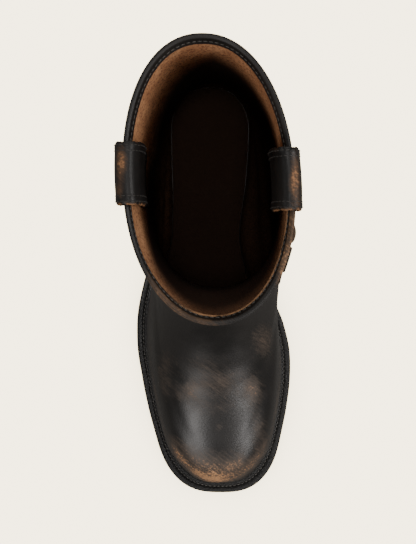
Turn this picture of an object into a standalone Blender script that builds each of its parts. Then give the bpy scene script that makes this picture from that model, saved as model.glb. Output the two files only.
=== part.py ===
"""Harness boot for a right foot, put together from the pieces that a bootmaker would join.

Sizes are in millimetres and become metres where a mesh is made. A place along the boot is its
distance from the heel's back, a place across it is positive to the inner side of the foot, and
the floor is at height 0. In the finished model the toe points to -Y and the inner side is +X.
"""
import math

import bmesh
import bpy
import numpy as np
from mathutils import Matrix, Vector
from mathutils.bvhtree import BVHTree

MM = 0.001
COLLECTION = "harness_boot"

# Sole
SOLE_LENGTH = 304.0
SOLE_THICK = 6.0
SOLE_EDGE = 1.2
TOE_ROUND = 42.0
TOE_POWER = 2.9
HEEL_ROUND = 36.0
HEEL_POWER = 2.3
HEEL_BREAST = 76.0
SEAT_BACK = 33.0
SEAT_FRONT = 29.5
TREAD_START = 174.0
TREAD_END = 226.0
TOE_SPRING = 11.0

# How wide the sole is along its length, before its two ends are rounded
SOLE_STATIONS = np.array(
    [
        # along, half width, centre
        (0, 34.0, 1.5),
        (32, 35.5, 1.5),
        (76, 34.5, 0.8),
        (108, 35.7, -1.4),
        (140, 43.1, -2.2),
        (160, 49.4, -1.0),
        (180, 54.8, 1.8),
        (200, 56.7, 4.3),
        (220, 55.2, 6.1),
        (241, 51.9, 7.0),
        (268, 45.4, 7.9),
        (304, 36.6, 9.2),
    ]
)

# Heel block
LIFT_THICK = 6.0
HEEL_SET_BACK = 0.8
HEEL_TAPER = 2.5
HEEL_UNDERCUT = 5.0
BREAST_UNDERCUT = 3.0

# Welt and insole
WELT_THICK = 3.6
WELT_EDGE = 0.6
WELT_REST = 10.0
WELT_HEEL = 5.0
WELT_WIDENS = (60.0, 135.0)
INSOLE_THICK = 3.2

# Upper
WALL = 2.4
LAYER = 1.1
BULGE = 1.5
COLLAR_TOP = 300.0
GAP = 0.35
SIDE_COLUMNS = 28
ROWS_BELOW_SEAM = 16
ROWS_ABOVE_SEAM = 11
ROWS_INSIDE = 14

# Sections of the upper from the sole to the collar. The foot share is how far a section takes
# the sole's own outline and sweep. The widest place is a fraction of the section's length. The
# swell is how far the inner side stands out over the arch.
SWELL_AT = 150.0
SWELL_REACH = 38.0
SECTION_COLUMNS = (
    "front", "front_z", "back", "back_z", "half", "widest",
    "front_power", "back_power", "front_x", "back_x", "foot", "swell",
)
SECTIONS = {
    "feather": (294.0, 17.0, 4.5, 39.3, 44.0, 0.62, 2.6, 2.6, 8.4, 1.5, 1.0, 0.0),
    "wall": (295.6, 30.0, 3.2, 50.0, 44.0, 0.62, 2.6, 2.6, 8.4, 1.5, 1.0, 0.6),
    "toe shoulder": (292.4, 43.0, 2.6, 61.0, 43.5, 0.61, 2.4, 2.6, 8.2, 1.7, 0.5, 1.6),
    "toe top": (284.0, 52.5, 3.2, 71.0, 41.5, 0.58, 2.15, 2.6, 7.8, 2.0, 0.3, 3.0),
    "toe crown": (266.0, 59.0, 4.4, 79.5, 40.5, 0.50, 2.0, 2.6, 7.0, 2.4, 0.12, 3.8),
    "vamp low": (240.0, 66.5, 6.0, 88.5, 40.5, 0.50, 2.0, 2.5, 6.0, 2.8, 0.0, 4.2),
    "vamp middle": (212.0, 77.5, 7.6, 98.0, 40.8, 0.50, 2.0, 2.4, 5.2, 3.2, 0.0, 4.4),
    "vamp high": (187.0, 92.5, 9.2, 109.0, 41.2, 0.50, 2.05, 2.2, 4.6, 3.4, 0.0, 4.6),
    "instep": (167.5, 112.0, 10.6, 122.0, 42.0, 0.50, 2.15, 2.1, 4.4, 3.4, 0.0, 5.0),
    "throat": (155.0, 135.0, 11.4, 138.5, 43.0, 0.50, 2.25, 2.0, 4.4, 3.2, 0.0, 4.8),
    "ankle": (150.0, 161.0, 11.6, 161.0, 43.5, 0.50, 2.3, 2.0, 4.6, 2.6, 0.0, 3.0),
    "leg": (150.5, 196.0, 11.0, 196.0, 43.6, 0.50, 2.3, 2.1, 4.6, 1.4, 0.0, 1.2),
    "calf": (155.0, 246.0, 9.4, 246.0, 44.4, 0.51, 2.2, 2.15, 4.4, -1.0, 0.0, 0.2),
    "collar": (162.1, COLLAR_TOP - 1.6, 6.7, COLLAR_TOP - 1.6, 45.5, 0.52, 2.1, 2.17, 4.0, -3.2, 0.0, 0.0),
}

# The seam where vamp and counter lap over the shaft: a height at the back, side and front
SEAM_BACK = 94.0
SEAM_SIDE = 66.0
SEAM_FRONT = 126.0
SEAM_SIDE_AT = 0.32
SEAM_LIP = 0.004

# Collar binding
BINDING_THICK = 1.0
BINDING_OUTSIDE = 7.0
BINDING_INSIDE = 11.0

# Pull straps
PULL_WIDTH = 33.0
PULL_THICK = 2.2
PULL_GAP = 0.7
PULL_OUTSIDE = 48.0
PULL_ACROSS = 6
PULL_ROWS = 24
# Each strap's place along the boot, and how far it stands out more than the loop below
PULL_SIDES = {"lateral": (81.5, 1.2), "medial": (84.5, 0.0)}
# The loop over the rim: distance out from the wall, and height over the collar
PULL_LOOP = (
    (3.1, -8.0),
    (3.4, 2.0),
    (3.0, 9.0),
    (0.6, 14.5),
    (-3.6, 15.5),
    (-7.8, 10.5),
    (-9.6, 1.0),
    (-10.2, -14.0),
    (-9.4, -30.0),
    (-7.4, -46.0),
)
PULL_INSIDE = (-62.0, -76.0)

# Harness
RING_RADIUS = 17.5
WIRE_RADIUS = 2.5
WIRE_GAP = 0.6
RING_ANGLE = 45.5
RING_HEIGHT = 134.0
ANKLE_AXIS = 84.0
STRAP_WIDTH = 18.0
STRAP_THICK = 2.7
STRAP_LINES = np.linspace(-0.5, 0.5, 4) * STRAP_WIDTH
STRAP_STEP = 6.0
STRAP_GAP = 0.92
LEAF_LENGTH = 16.0
LEAF_BLEND = 14.0
INSTEP_RISE = 15.0
HEEL_STRAP_BACK = 116.0
SOLE_STRAP_LEAN = 5.0
SOLE_STRAP_LOW = 20.0
SOLE_STRAP_CLEAR = 0.8
NORMAL_STEP = 7.0
FAR = 300.0
UNDER_EDGE = 30

# Colours: linear red, green, blue, then roughness and metallic value
FINISHES = {
    "black_leather": ((0.018, 0.015, 0.013), 0.42, 0.0),
    "welt_leather": ((0.012, 0.010, 0.009), 0.5, 0.0),
    "sole_leather": ((0.020, 0.016, 0.013), 0.55, 0.0),
    "rubber": ((0.012, 0.012, 0.012), 0.7, 0.0),
    "suede": ((0.33, 0.18, 0.095), 0.9, 0.0),
    "aged_steel": ((0.30, 0.28, 0.25), 0.35, 1.0),
}


def remove_everything():
    for thing in list(bpy.data.objects):
        bpy.data.objects.remove(thing, do_unlink=True)


def through(stations, values, at):
    """A smooth curve through a table's rows that never overshoots them."""
    stations = np.asarray(stations, float)
    values = np.asarray(values, float)
    at = np.clip(np.asarray(at, float), stations[0], stations[-1])
    run = np.diff(stations)
    rise = np.diff(values) / run
    slope = np.zeros_like(values)
    slope[0] = rise[0]
    slope[-1] = rise[-1]
    for k in range(1, len(values) - 1):
        if rise[k - 1] * rise[k] > 0:
            before = 2 * run[k] + run[k - 1]
            after = run[k] + 2 * run[k - 1]
            slope[k] = (before + after) / (before / rise[k - 1] + after / rise[k])
    k = np.clip(np.searchsorted(stations, at, side="right") - 1, 0, len(run) - 1)
    t = (at - stations[k]) / run[k]
    start = values[k] * (1 + 2 * t) * (1 - t) ** 2 + slope[k] * run[k] * t * (1 - t) ** 2
    end = values[k + 1] * t * t * (3 - 2 * t) + slope[k + 1] * run[k] * t * t * (t - 1)
    return start + end


def ease(value):
    value = np.clip(value, 0.0, 1.0)
    return value * value * (3 - 2 * value)


def rounded(distance, power):
    """Height of a rounded end: 1 at distance 0, falling to 0 at distance 1."""
    return (1 - np.clip(distance, 0, 1) ** power) ** (1 / power)


def sole_bottom(along):
    """Height of the sole's underside: heel seat, waist, flat tread and toe spring."""
    along = np.asarray(along, float)
    fall = (SEAT_FRONT - SEAT_BACK) / HEEL_BREAST
    seat = SEAT_BACK + fall * along
    t = np.clip((along - HEEL_BREAST) / (TREAD_START - HEEL_BREAST), 0, 1)
    waist = SEAT_FRONT * (1 + 2 * t) * (1 - t) ** 2
    waist += fall * (TREAD_START - HEEL_BREAST) * t * (1 - t) ** 2
    toe = TOE_SPRING * (np.clip(along - TREAD_END, 0, None) / (SOLE_LENGTH - TREAD_END)) ** 2
    return np.where(along < HEEL_BREAST, seat, np.where(along < TREAD_START, waist, toe))


def sole_top(along):
    return sole_bottom(along) + SOLE_THICK


def sole_plan(t, front, back, inset):
    """Half width and centre of the sole's outline between two ends, drawn in at its sides."""
    along = back + (front - back) * t
    half = through(SOLE_STATIONS[:, 0], SOLE_STATIONS[:, 1], along) - inset(along)
    half = half * rounded((along - front + TOE_ROUND) / TOE_ROUND, TOE_POWER)
    half = half * rounded((back + HEEL_ROUND - along) / HEEL_ROUND, HEEL_POWER)
    centre = through(SOLE_STATIONS[:, 0], SOLE_STATIONS[:, 2], along)
    return along, half, centre


def welt_rest(along):
    """How far the upper's lower edge stands in from the sole's edge."""
    start, end = WELT_WIDENS
    return WELT_HEEL + (WELT_REST - WELT_HEEL) * ease((along - start) / (end - start))


def dense(count=241):
    return 0.5 * (1 - np.cos(np.pi * np.linspace(0, 1, count)))


def resample(points, count):
    """The same line with evenly spaced points."""
    steps = np.linalg.norm(np.diff(points, axis=0), axis=1)
    length = np.concatenate([[0.0], np.cumsum(steps)])
    at = np.linspace(0, length[-1], count)
    return np.stack([np.interp(at, length, points[:, k]) for k in range(3)], axis=1)


def plan_loop(along, outer, inner, centre, height):
    """A closed loop: from the back along the outer side to the front, and back along the inner."""
    sides = []
    for edge in (centre - outer, centre + inner):
        line = np.stack([edge, -along, height], axis=1)
        sides.append(resample(line, SIDE_COLUMNS + 1))
    outer, inner = sides
    return np.concatenate([outer, inner[-2:0:-1]])


def sole_loop(inset, lift):
    """The sole's outline drawn in by a distance, at a height over the sole's underside."""
    along, half, centre = sole_plan(dense(), SOLE_LENGTH - inset, inset, lambda s: inset)
    return plan_loop(along, half, half, centre, sole_bottom(along) + lift)


def sections():
    """One loop for each of the upper's sections, from the sole to the collar."""
    t = dense()
    loops = []
    for number, values in enumerate(SECTIONS.values()):
        row = dict(zip(SECTION_COLUMNS, values))
        widest = row["widest"]
        front = np.clip((t - widest) / (1 - widest), 0, 1)
        back = np.clip((widest - t) / widest, 0, 1)
        plain = row["half"] * rounded(front, row["front_power"]) * rounded(back, row["back_power"])
        bulge = BULGE if number else 0.0
        along, foot, foot_centre = sole_plan(
            t, row["front"], row["back"], lambda s: welt_rest(s) - bulge
        )
        share = row["foot"]
        half = plain + (foot - plain) * share
        centre = row["back_x"] + (row["front_x"] - row["back_x"]) * t
        centre = centre + (foot_centre - centre) * share
        height = row["back_z"] + (row["front_z"] - row["back_z"]) * t
        rise_back = row["back_z"] - sole_top(row["back"])
        rise_front = row["front_z"] - sole_top(row["front"])
        swept = sole_top(along) + rise_back + (rise_front - rise_back) * t
        if number == 0:
            swept = sole_top(along) + GAP
        height = height + (swept - height) * share
        swell = row["swell"] * np.exp(-(((along - SWELL_AT) / SWELL_REACH) ** 2)) * half / half.max()
        loops.append(plan_loop(along, half, half + swell, centre, height))
    return np.array(loops)


class Skin:
    """The upper's surface through its sections, asked for at a level in each column."""

    def __init__(self, loops):
        self.loops = loops
        steps = np.linalg.norm(np.diff(loops, axis=0), axis=2).mean(axis=1)
        self.levels = np.concatenate([[0.0], np.cumsum(steps)]) / steps.sum()
        self.columns = loops.shape[1]
        tangents = np.empty_like(loops)
        gaps = np.diff(self.levels)[:, None, None]
        rises = np.diff(loops, axis=0) / gaps
        tangents[0] = rises[0]
        tangents[-1] = rises[-1]
        before = gaps[:-1]
        after = gaps[1:]
        tangents[1:-1] = (rises[:-1] * after + rises[1:] * before) / (before + after)
        self.tangents = tangents
        self.fine = np.linspace(0, 1, 600)
        self.fine_heights = self.points(np.repeat(self.fine[:, None], self.columns, axis=1))[:, :, 2]

    def points(self, levels):
        k = np.clip(np.searchsorted(self.levels, levels, side="right") - 1, 0, len(self.levels) - 2)
        column = np.broadcast_to(np.arange(self.columns), levels.shape)
        gap = (self.levels[k + 1] - self.levels[k])[..., None]
        t = ((levels - self.levels[k])[..., None]) / gap
        start = self.loops[k, column] * (1 + 2 * t) * (1 - t) ** 2
        start = start + self.tangents[k, column] * gap * t * (1 - t) ** 2
        end = self.loops[k + 1, column] * t * t * (3 - 2 * t)
        return start + end + self.tangents[k + 1, column] * gap * t * t * (t - 1)

    def normals(self, levels):
        points = self.points(levels)
        around = np.roll(points, -1, axis=1) - np.roll(points, 1, axis=1)
        step = 0.004
        up = self.points(np.minimum(levels + step, 1)) - self.points(np.maximum(levels - step, 0))
        out = np.cross(around, up)
        return out / np.linalg.norm(out, axis=2, keepdims=True)

    def at_height(self, heights):
        """The level in each column that has the height asked for there."""
        found = [
            np.interp(heights[i], self.fine_heights[:, i], self.fine) for i in range(self.columns)
        ]
        return np.array(found)


def seam_heights():
    """Height of the lap seam in each column."""
    place = np.concatenate(
        [np.arange(SIDE_COLUMNS + 1), np.arange(SIDE_COLUMNS - 1, 0, -1)]
    ) / SIDE_COLUMNS
    behind = SEAM_BACK + (SEAM_SIDE - SEAM_BACK) * ease(place / SEAM_SIDE_AT)
    ahead = SEAM_SIDE + (SEAM_FRONT - SEAM_SIDE) * ease((place - SEAM_SIDE_AT) / (1 - SEAM_SIDE_AT))
    return np.where(place < SEAM_SIDE_AT, behind, ahead)


def seat(loop):
    """The loop with its points set down on the sole."""
    seated = loop.copy()
    seated[:, 2] = sole_top(-seated[:, 1]) + GAP
    return seated


def flat_out(normals):
    """Directions out of the wall, level with the floor."""
    level = normals * np.array([1.0, 1.0, 0.0])
    return level / np.linalg.norm(level, axis=-1, keepdims=True)


def place_loops(loops, shift):
    return [np.asarray(loop) + shift for loop in loops]


def finish(name):
    found = bpy.data.materials.get(name)
    if found:
        return found
    colour, roughness, metallic = FINISHES[name]
    material = bpy.data.materials.new(name)
    material.use_nodes = True
    shader = material.node_tree.nodes["Principled BSDF"]
    shader.inputs["Base Color"].default_value = (*colour, 1.0)
    shader.inputs["Roughness"].default_value = roughness
    shader.inputs["Metallic"].default_value = metallic
    return material


def add_object(name, mesh, collection, finish_name):
    thing = bpy.data.objects.new(name, mesh)
    collection.objects.link(thing)
    mesh.materials.append(finish(finish_name))
    mesh.shade_smooth()
    mesh.set_sharp_from_angle(angle=math.radians(40))
    return thing


def mesh_from(name, build):
    """A mesh in metres from a bmesh that is built in millimetres."""
    bm = bmesh.new()
    build(bm)
    bmesh.ops.scale(bm, vec=(MM, MM, MM), verts=bm.verts)
    mesh = bpy.data.meshes.new(name)
    bm.to_mesh(mesh)
    bm.free()
    return mesh


def rings_of(bm, loops):
    return [[bm.verts.new(point) for point in loop] for loop in loops]


def skin_between(bm, lower, upper):
    count = len(lower)
    for i in range(count):
        j = (i + 1) % count
        bm.faces.new((lower[i], lower[j], upper[j], upper[i]))


def band(name, loops, collection, finish_name):
    """A ring-shaped solid: each loop is joined to the next, and the last to the first."""

    def build(bm):
        rings = rings_of(bm, loops)
        for k, ring in enumerate(rings):
            skin_between(bm, ring, rings[(k + 1) % len(rings)])

    return add_object(name, mesh_from(name, build), collection, finish_name)


def plate(name, loops, collection, finish_name):
    """A closed plate from its lowest loop to its highest, with strips across both faces."""

    def build(bm):
        rings = rings_of(bm, loops)
        for k in range(len(rings) - 1):
            skin_between(bm, rings[k], rings[k + 1])
        for ring, upward in ((rings[-1], True), (rings[0], False)):
            count = len(ring)
            for i in range(count // 2):
                corners = [ring[i], ring[i + 1], ring[count - i - 1], ring[(count - i) % count]]
                corners = list(dict.fromkeys(corners))
                bm.faces.new(corners if upward else corners[::-1])

    return add_object(name, mesh_from(name, build), collection, finish_name)


def block(name, loops, collection, finish_name):
    """A closed block from its lowest loop to its highest, with flat ends."""

    def build(bm):
        rings = rings_of(bm, loops)
        for k in range(len(rings) - 1):
            skin_between(bm, rings[k], rings[k + 1])
        bm.faces.new(rings[-1])
        bm.faces.new(rings[0][::-1])

    return add_object(name, mesh_from(name, build), collection, finish_name)


def sheet(name, grid, thick, collection, finish_name):
    """A strap: an open grid of points, thickened to both sides."""

    def build(bm):
        rows = rings_of(bm, grid)
        for low, high in zip(rows, rows[1:]):
            for i in range(len(low) - 1):
                bm.faces.new((low[i], low[i + 1], high[i + 1], high[i]))

    thing = add_object(name, mesh_from(name, build), collection, finish_name)
    solid = thing.modifiers.new("thickness", "SOLIDIFY")
    solid.thickness = thick * MM
    solid.offset = 0.0
    solid.use_even_offset = True
    return thing


def heel_loop(back, breast, inset, height):
    """The heel's outline, straight across its breast, at a height for each place along it."""
    t = np.linspace(0, 1, 200) ** 2
    along = back + (breast - back) * t
    half = through(SOLE_STATIONS[:, 0], SOLE_STATIONS[:, 1], along) - inset
    half = half * rounded((back + HEEL_ROUND - along) / HEEL_ROUND, HEEL_POWER)
    centre = through(SOLE_STATIONS[:, 0], SOLE_STATIONS[:, 2], along)
    sides = []
    for side in (-1, 1):
        line = np.stack([centre + side * half, -along, np.zeros_like(along)], axis=1)
        sides.append(resample(line, 13))
    loop = np.concatenate([sides[0], sides[1][:0:-1]])
    loop[:, 2] = height(-loop[:, 1])
    return loop


def heel_pieces(collection, shift):
    low = HEEL_SET_BACK + HEEL_UNDERCUT
    breast = HEEL_BREAST - BREAST_UNDERCUT
    taper = HEEL_SET_BACK + HEEL_TAPER
    foot = heel_loop(low, breast, taper, lambda s: 0 * s + LIFT_THICK + GAP)
    top = heel_loop(HEEL_SET_BACK, HEEL_BREAST - 1, HEEL_SET_BACK, lambda s: sole_bottom(s) - GAP)
    block("heel_stack", place_loops([foot, top], shift), collection, "sole_leather")
    ground = heel_loop(low + 0.6, breast - 0.6, taper + 0.6, lambda s: 0 * s)
    edge = heel_loop(low, breast, taper, lambda s: 0 * s + 0.8)
    lid = heel_loop(low, breast, taper, lambda s: 0 * s + LIFT_THICK)
    block("heel_lift", place_loops([ground, edge, lid], shift), collection, "rubber")


def upper_loops(skin):
    """The outside from the sole to the collar, then the inside from the collar to the sole."""
    seam = skin.at_height(seam_heights())
    below = np.linspace(0, 1, ROWS_BELOW_SEAM)[:, None] * (seam - SEAM_LIP)
    above = seam + np.linspace(0, 1, ROWS_ABOVE_SEAM)[:, None] * (1 - seam)
    lapped = skin.points(below) + skin.normals(below) * LAYER
    lapped[0] = seat(lapped[0])
    shaft = skin.points(above)
    inside_levels = np.linspace(1, 0, ROWS_INSIDE)[:, None] * np.ones(skin.columns)
    inside = skin.points(inside_levels) - skin.normals(inside_levels) * WALL
    inside[0, :, 2] = shaft[-1, :, 2]
    inside[-1] = seat(inside[-1])
    return lapped, shaft, inside


def binding_loops(skin):
    """The turned strip over the collar, from its outer hem over the top to its inner hem."""
    top = skin.loops[-1][:, 2]

    def wall(drop):
        level = skin.at_height(top - drop)[None, :]
        return skin.points(level)[0], flat_out(skin.normals(level)[0])

    def outside(drop, distance, rise=0.0):
        point, out = wall(drop)
        loop = point + out * distance
        loop[:, 2] = top - drop + rise
        return loop

    def inside(drop, distance, rise=0.0):
        return outside(drop, -WALL - distance, rise)

    far = GAP + BINDING_THICK
    crown = outside(0.0, -WALL / 2, GAP + BINDING_THICK)
    return [
        outside(BINDING_OUTSIDE, far),
        outside(0.0, far, GAP + 0.4 * BINDING_THICK),
        crown,
        inside(0.0, far, GAP + 0.4 * BINDING_THICK),
        inside(BINDING_INSIDE, far),
        inside(BINDING_INSIDE, GAP),
        inside(0.0, GAP, GAP),
        outside(0.0, GAP, GAP),
        outside(BINDING_OUTSIDE, GAP),
    ]


def welt_loops(skin, lapped):
    """The welt's outer face, top and inner face, resting on the sole round the upper."""
    low = sole_loop(WELT_EDGE, SOLE_THICK + GAP)
    high = sole_loop(WELT_EDGE, SOLE_THICK + GAP + WELT_THICK)
    foot = skin.loops[0]
    level = skin.at_height(foot[:, 2] + WELT_THICK)[None, :]
    out = flat_out(skin.normals(level)[0])
    inner_high = skin.points(level)[0] + out * (LAYER + GAP)
    inner_low = lapped[0] + out * GAP
    inner_low[:, 2] = sole_top(-inner_low[:, 1]) + GAP
    inner_high[:, 2] = sole_top(-inner_high[:, 1]) + GAP + WELT_THICK
    return [low, high, inner_high, inner_low]


def insole_loops(inside):
    foot = inside[-1]
    around = np.roll(foot, -1, axis=0) - np.roll(foot, 1, axis=0)
    out = flat_out(np.cross(around, np.array([0.0, 0.0, 1.0])))
    low = foot - out * 0.5
    high = low.copy()
    low[:, 2] = sole_top(-low[:, 1]) + GAP
    high[:, 2] = low[:, 2] + INSOLE_THICK
    return [low, high]


class Wall:
    """The upper's outside as a maker feels it: asked for at an angle round the ankle and a height."""

    def __init__(self, loops, shift):
        points = [Vector(p) for loop in loops for p in np.asarray(loop) + shift]
        count = len(loops[0])
        faces = []
        for k in range(len(loops)):
            for i in range(count):
                j = (i + 1) % count
                n = (k + 1) % len(loops)
                faces.append((k * count + i, k * count + j, n * count + j, n * count + i))
        self.tree = BVHTree.FromPolygons(points, faces)
        self.centre = Vector((0.0, -ANKLE_AXIS, 0.0)) + Vector(shift)

    def point(self, angle, height):
        """Angles run from the toe's direction, positive to the inner side.

        Just under its lower edge the wall is taken to go straight down.
        """
        out = Vector((math.sin(angle), -math.cos(angle), 0.0))
        start = Vector((self.centre.x, self.centre.y, height)) + out * FAR
        for rise in range(UNDER_EDGE):
            hit = self.tree.ray_cast(start + Vector((0, 0, rise)), -out)[0]
            if hit:
                return Vector((hit.x, hit.y, height))
        raise ValueError("no wall at this height")

    def angle_at(self, along, height, side):
        """The angle at which the wall on one side is at a place along the boot."""
        low = 0.0
        high = math.pi
        for _ in range(30):
            middle = 0.5 * (low + high)
            if self.point(side * middle, height).y < along:
                low = middle
            else:
                high = middle
        return 0.5 * (low + high)

    def frame(self, angle, height):
        """A point of the wall, its two directions along the wall and the one out of it."""
        reach = (self.point(angle, height).xy - self.centre.xy).length
        turn = NORMAL_STEP / reach
        around = self.point(angle + turn, height) - self.point(angle - turn, height)
        up = self.point(angle, height + NORMAL_STEP) - self.point(angle, height - NORMAL_STEP)
        per_turn = around / (2 * turn)
        per_rise = up / (2 * NORMAL_STEP)
        return self.point(angle, height), per_turn, per_rise, per_turn.cross(per_rise).normalized()

    def across(self, along, height, side, outside):
        """Where a level line across the boot meets the wall, from outside or from within."""
        if outside:
            start = Vector((side * FAR, along, height))
            return self.tree.ray_cast(start, Vector((-side, 0, 0)))[0].x
        return self.tree.ray_cast(Vector((0, along, height)), Vector((side, 0, 0)))[0].x


class Route:
    """A strap's line on the wall, asked for at a length along it and a distance across it."""

    def __init__(self, wall, turns):
        self.wall = wall
        self.turns = turns
        points = [wall.point(angle, height) for angle, height in turns]
        steps = [(b - a).length for a, b in zip(points, points[1:])]
        self.lengths = np.concatenate([[0.0], np.cumsum(steps)])
        self.total = self.lengths[-1]

    def turn_at(self, length):
        angles = [turn[0] for turn in self.turns]
        heights = [turn[1] for turn in self.turns]
        return np.interp(length, self.lengths, angles), np.interp(length, self.lengths, heights)

    def frame(self, length):
        angle, height = self.turn_at(length)
        point, per_turn, per_rise, out = self.wall.frame(angle, height)
        before = self.turn_at(max(length - 3, 0))
        after = self.turn_at(min(length + 3, self.total))
        ahead = per_turn * (after[0] - before[0]) + per_rise * (after[1] - before[1])
        ahead = (ahead - out * ahead.dot(out)).normalized()
        return point, ahead, out.cross(ahead), out

    def over(self, length, across, lift):
        """A point over the wall beside the line, lifted off the wall and off any step near it."""
        angle, height = self.turn_at(length)
        _, per_turn, per_rise, _ = self.wall.frame(angle, height)
        beside = self.frame(length)[2]
        turn = beside.dot(per_turn.normalized()) * across / per_turn.length
        rise = beside.dot(per_rise.normalized()) * across / per_rise.length
        return self.lifted(length, turn, rise, lift)

    def lifted(self, length, turn, rise, lift):
        angle, height = self.turn_at(length)
        base, _, _, out = self.wall.frame(angle + turn, height + rise)
        step = 0.0
        for reach in (-STRAP_STEP, STRAP_STEP):
            near_angle, near_height = self.turn_at(min(max(length + reach, 0), self.total))
            beyond = self.wall.point(near_angle + turn, near_height + rise) - base
            step = max(step, beyond.dot(out))
        return base + out * (lift + step)


class Fall(Route):
    """A strap's line straight down one side, with edges that keep their place along the boot."""

    def over(self, length, across, lift):
        angle, height = self.turn_at(length)
        side = math.copysign(1.0, angle)
        along = self.wall.point(angle, height).y + side * across
        turn = side * self.wall.angle_at(along, height, side) - angle
        return self.lifted(length, turn, 0.0, lift)


def ring_frame(wall, side):
    """The middle of a harness ring and the direction out of its plane."""
    point, _, _, out = wall.frame(side * math.radians(RING_ANGLE), RING_HEIGHT)
    return point + out * (STRAP_GAP + STRAP_THICK + WIRE_GAP + WIRE_RADIUS), out


def strap_end(route, wall, side, at_end):
    """Rows of a strap's end that passes under a ring's wire, folds over it and lies back down."""
    centre, out = ring_frame(wall, side)
    _, ahead, beside, _ = route.frame(route.total if at_end else 0.0)
    ahead = (ahead - out * ahead.dot(out)).normalized()
    beside = (beside - out * beside.dot(out)).normalized()
    if at_end:
        ahead = -ahead
    lift_under = STRAP_GAP + STRAP_THICK / 2
    lift_over = lift_under + GAP + STRAP_THICK
    round_high = WIRE_RADIUS + WIRE_GAP + STRAP_THICK / 2

    def leaf(length, across, upward):
        reach = math.sqrt(RING_RADIUS ** 2 - across ** 2)
        wire = centre + ahead * reach + beside * across
        sign = 1 if upward else -1
        straight = wire + out * (sign * round_high) + ahead * (length - reach)
        place = route.total - length if at_end else length
        laid = route.over(place, across, lift_over if upward else lift_under)
        blend = float(ease((length - reach) / LEAF_BLEND))
        return straight.lerp(laid, blend)

    rows = []
    far = RING_RADIUS + LEAF_LENGTH
    for k in range(6):
        row = []
        for across in STRAP_LINES:
            reach = math.sqrt(RING_RADIUS ** 2 - across ** 2)
            row.append(leaf(far + (reach - far) * k / 5, across, True))
        rows.append(row)
    for k in range(1, 7):
        theta = math.radians(90 + 180 * k / 7)
        row = []
        for across in STRAP_LINES:
            reach = math.sqrt(RING_RADIUS ** 2 - across ** 2)
            round_deep = (WIRE_RADIUS + WIRE_GAP) * RING_RADIUS / reach + STRAP_THICK / 2
            wire = centre + ahead * reach + beside * across
            row.append(wire + ahead * (round_deep * math.cos(theta)) + out * (round_high * math.sin(theta)))
        rows.append(row)
    near = RING_RADIUS + LEAF_BLEND
    for k in range(4):
        row = []
        for across in STRAP_LINES:
            reach = math.sqrt(RING_RADIUS ** 2 - across ** 2)
            row.append(leaf(reach + (near - reach) * k / 3, across, False))
        rows.append(row)
    return rows


def strap_run(route, start, ends):
    """Rows of a strap that lies on the wall, from one length to an end for each line along it."""
    count = int(round((ends[0] - start) / STRAP_STEP))
    rows = []
    for t in np.linspace(0, 1, count + 1):
        row = []
        for across, end in zip(STRAP_LINES, ends):
            row.append(route.over(start + (end - start) * t, across, STRAP_GAP + STRAP_THICK / 2))
        rows.append(row)
    return rows


def harness(collection, wall):
    angle = math.radians(RING_ANGLE)
    near = RING_RADIUS + LEAF_BLEND
    steps = np.linspace(-1, 1, 81)
    front = [(angle * t, RING_HEIGHT + INSTEP_RISE * (1 - abs(t) ** 1.6)) for t in steps]
    rear = []
    for t in steps:
        turn = math.pi + (math.pi - angle) * t
        rear.append((turn, RING_HEIGHT + (HEEL_STRAP_BACK - RING_HEIGHT) * float(ease(1 - abs(t)))))
    for name, turns, first in (
        ("harness_instep_strap", front, -1),
        ("harness_heel_strap", rear, 1),
    ):
        route = Route(wall, turns)
        rows = strap_end(route, wall, first, False)
        rows += strap_run(route, near, [route.total - near] * len(STRAP_LINES))[1:-1]
        rows += strap_end(route, wall, -first, True)[::-1]
        sheet(name, rows, STRAP_THICK, collection, "black_leather")
    for label, side in (("lateral", -1), ("medial", 1)):
        sole_strap(label, side, collection, wall, near)
        centre, out = ring_frame(wall, side)
        bpy.ops.mesh.primitive_torus_add(
            major_radius=RING_RADIUS * MM,
            minor_radius=WIRE_RADIUS * MM,
            major_segments=28,
            minor_segments=10,
        )
        ring = bpy.context.object
        ring.name = "harness_ring_" + label
        ring.data.name = ring.name
        ring.matrix_world = Matrix.Translation(centre * MM) @ out.to_track_quat("Z", "Y").to_matrix().to_4x4()
        ring.data.materials.append(finish("aged_steel"))
        ring.data.shade_smooth()
        for owner in list(ring.users_collection):
            owner.objects.unlink(ring)
        collection.objects.link(ring)


def sole_strap(label, side, collection, wall, near):
    """The strap from a ring down the side of the foot to the welt, cut level with it."""
    angle = math.radians(RING_ANGLE)
    start = wall.point(side * angle, RING_HEIGHT).y

    def over_welt(point):
        """How far a point is above the welt there."""
        welt = sole_top(ANKLE_AXIS + wall.centre.y - point.y) + GAP + WELT_THICK
        return point.z - float(welt)

    turns = []
    for t in np.linspace(0, 1, 60):
        height = RING_HEIGHT + (SOLE_STRAP_LOW - RING_HEIGHT) * t
        turns.append((side * wall.angle_at(start - SOLE_STRAP_LEAN * t, height, side), height))
    route = Fall(wall, turns)
    ends = []
    for across in STRAP_LINES:
        lengths = np.arange(near, route.total, GAP)
        clear = [over_welt(route.over(at, across, STRAP_GAP + STRAP_THICK)) > SOLE_STRAP_CLEAR for at in lengths]
        ends.append(lengths[clear][-1])
    rows = strap_end(route, wall, side, False)
    rows += strap_run(route, near, ends)[1:]
    sheet("harness_sole_strap_" + label, rows, STRAP_THICK, collection, "black_leather")


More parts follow.
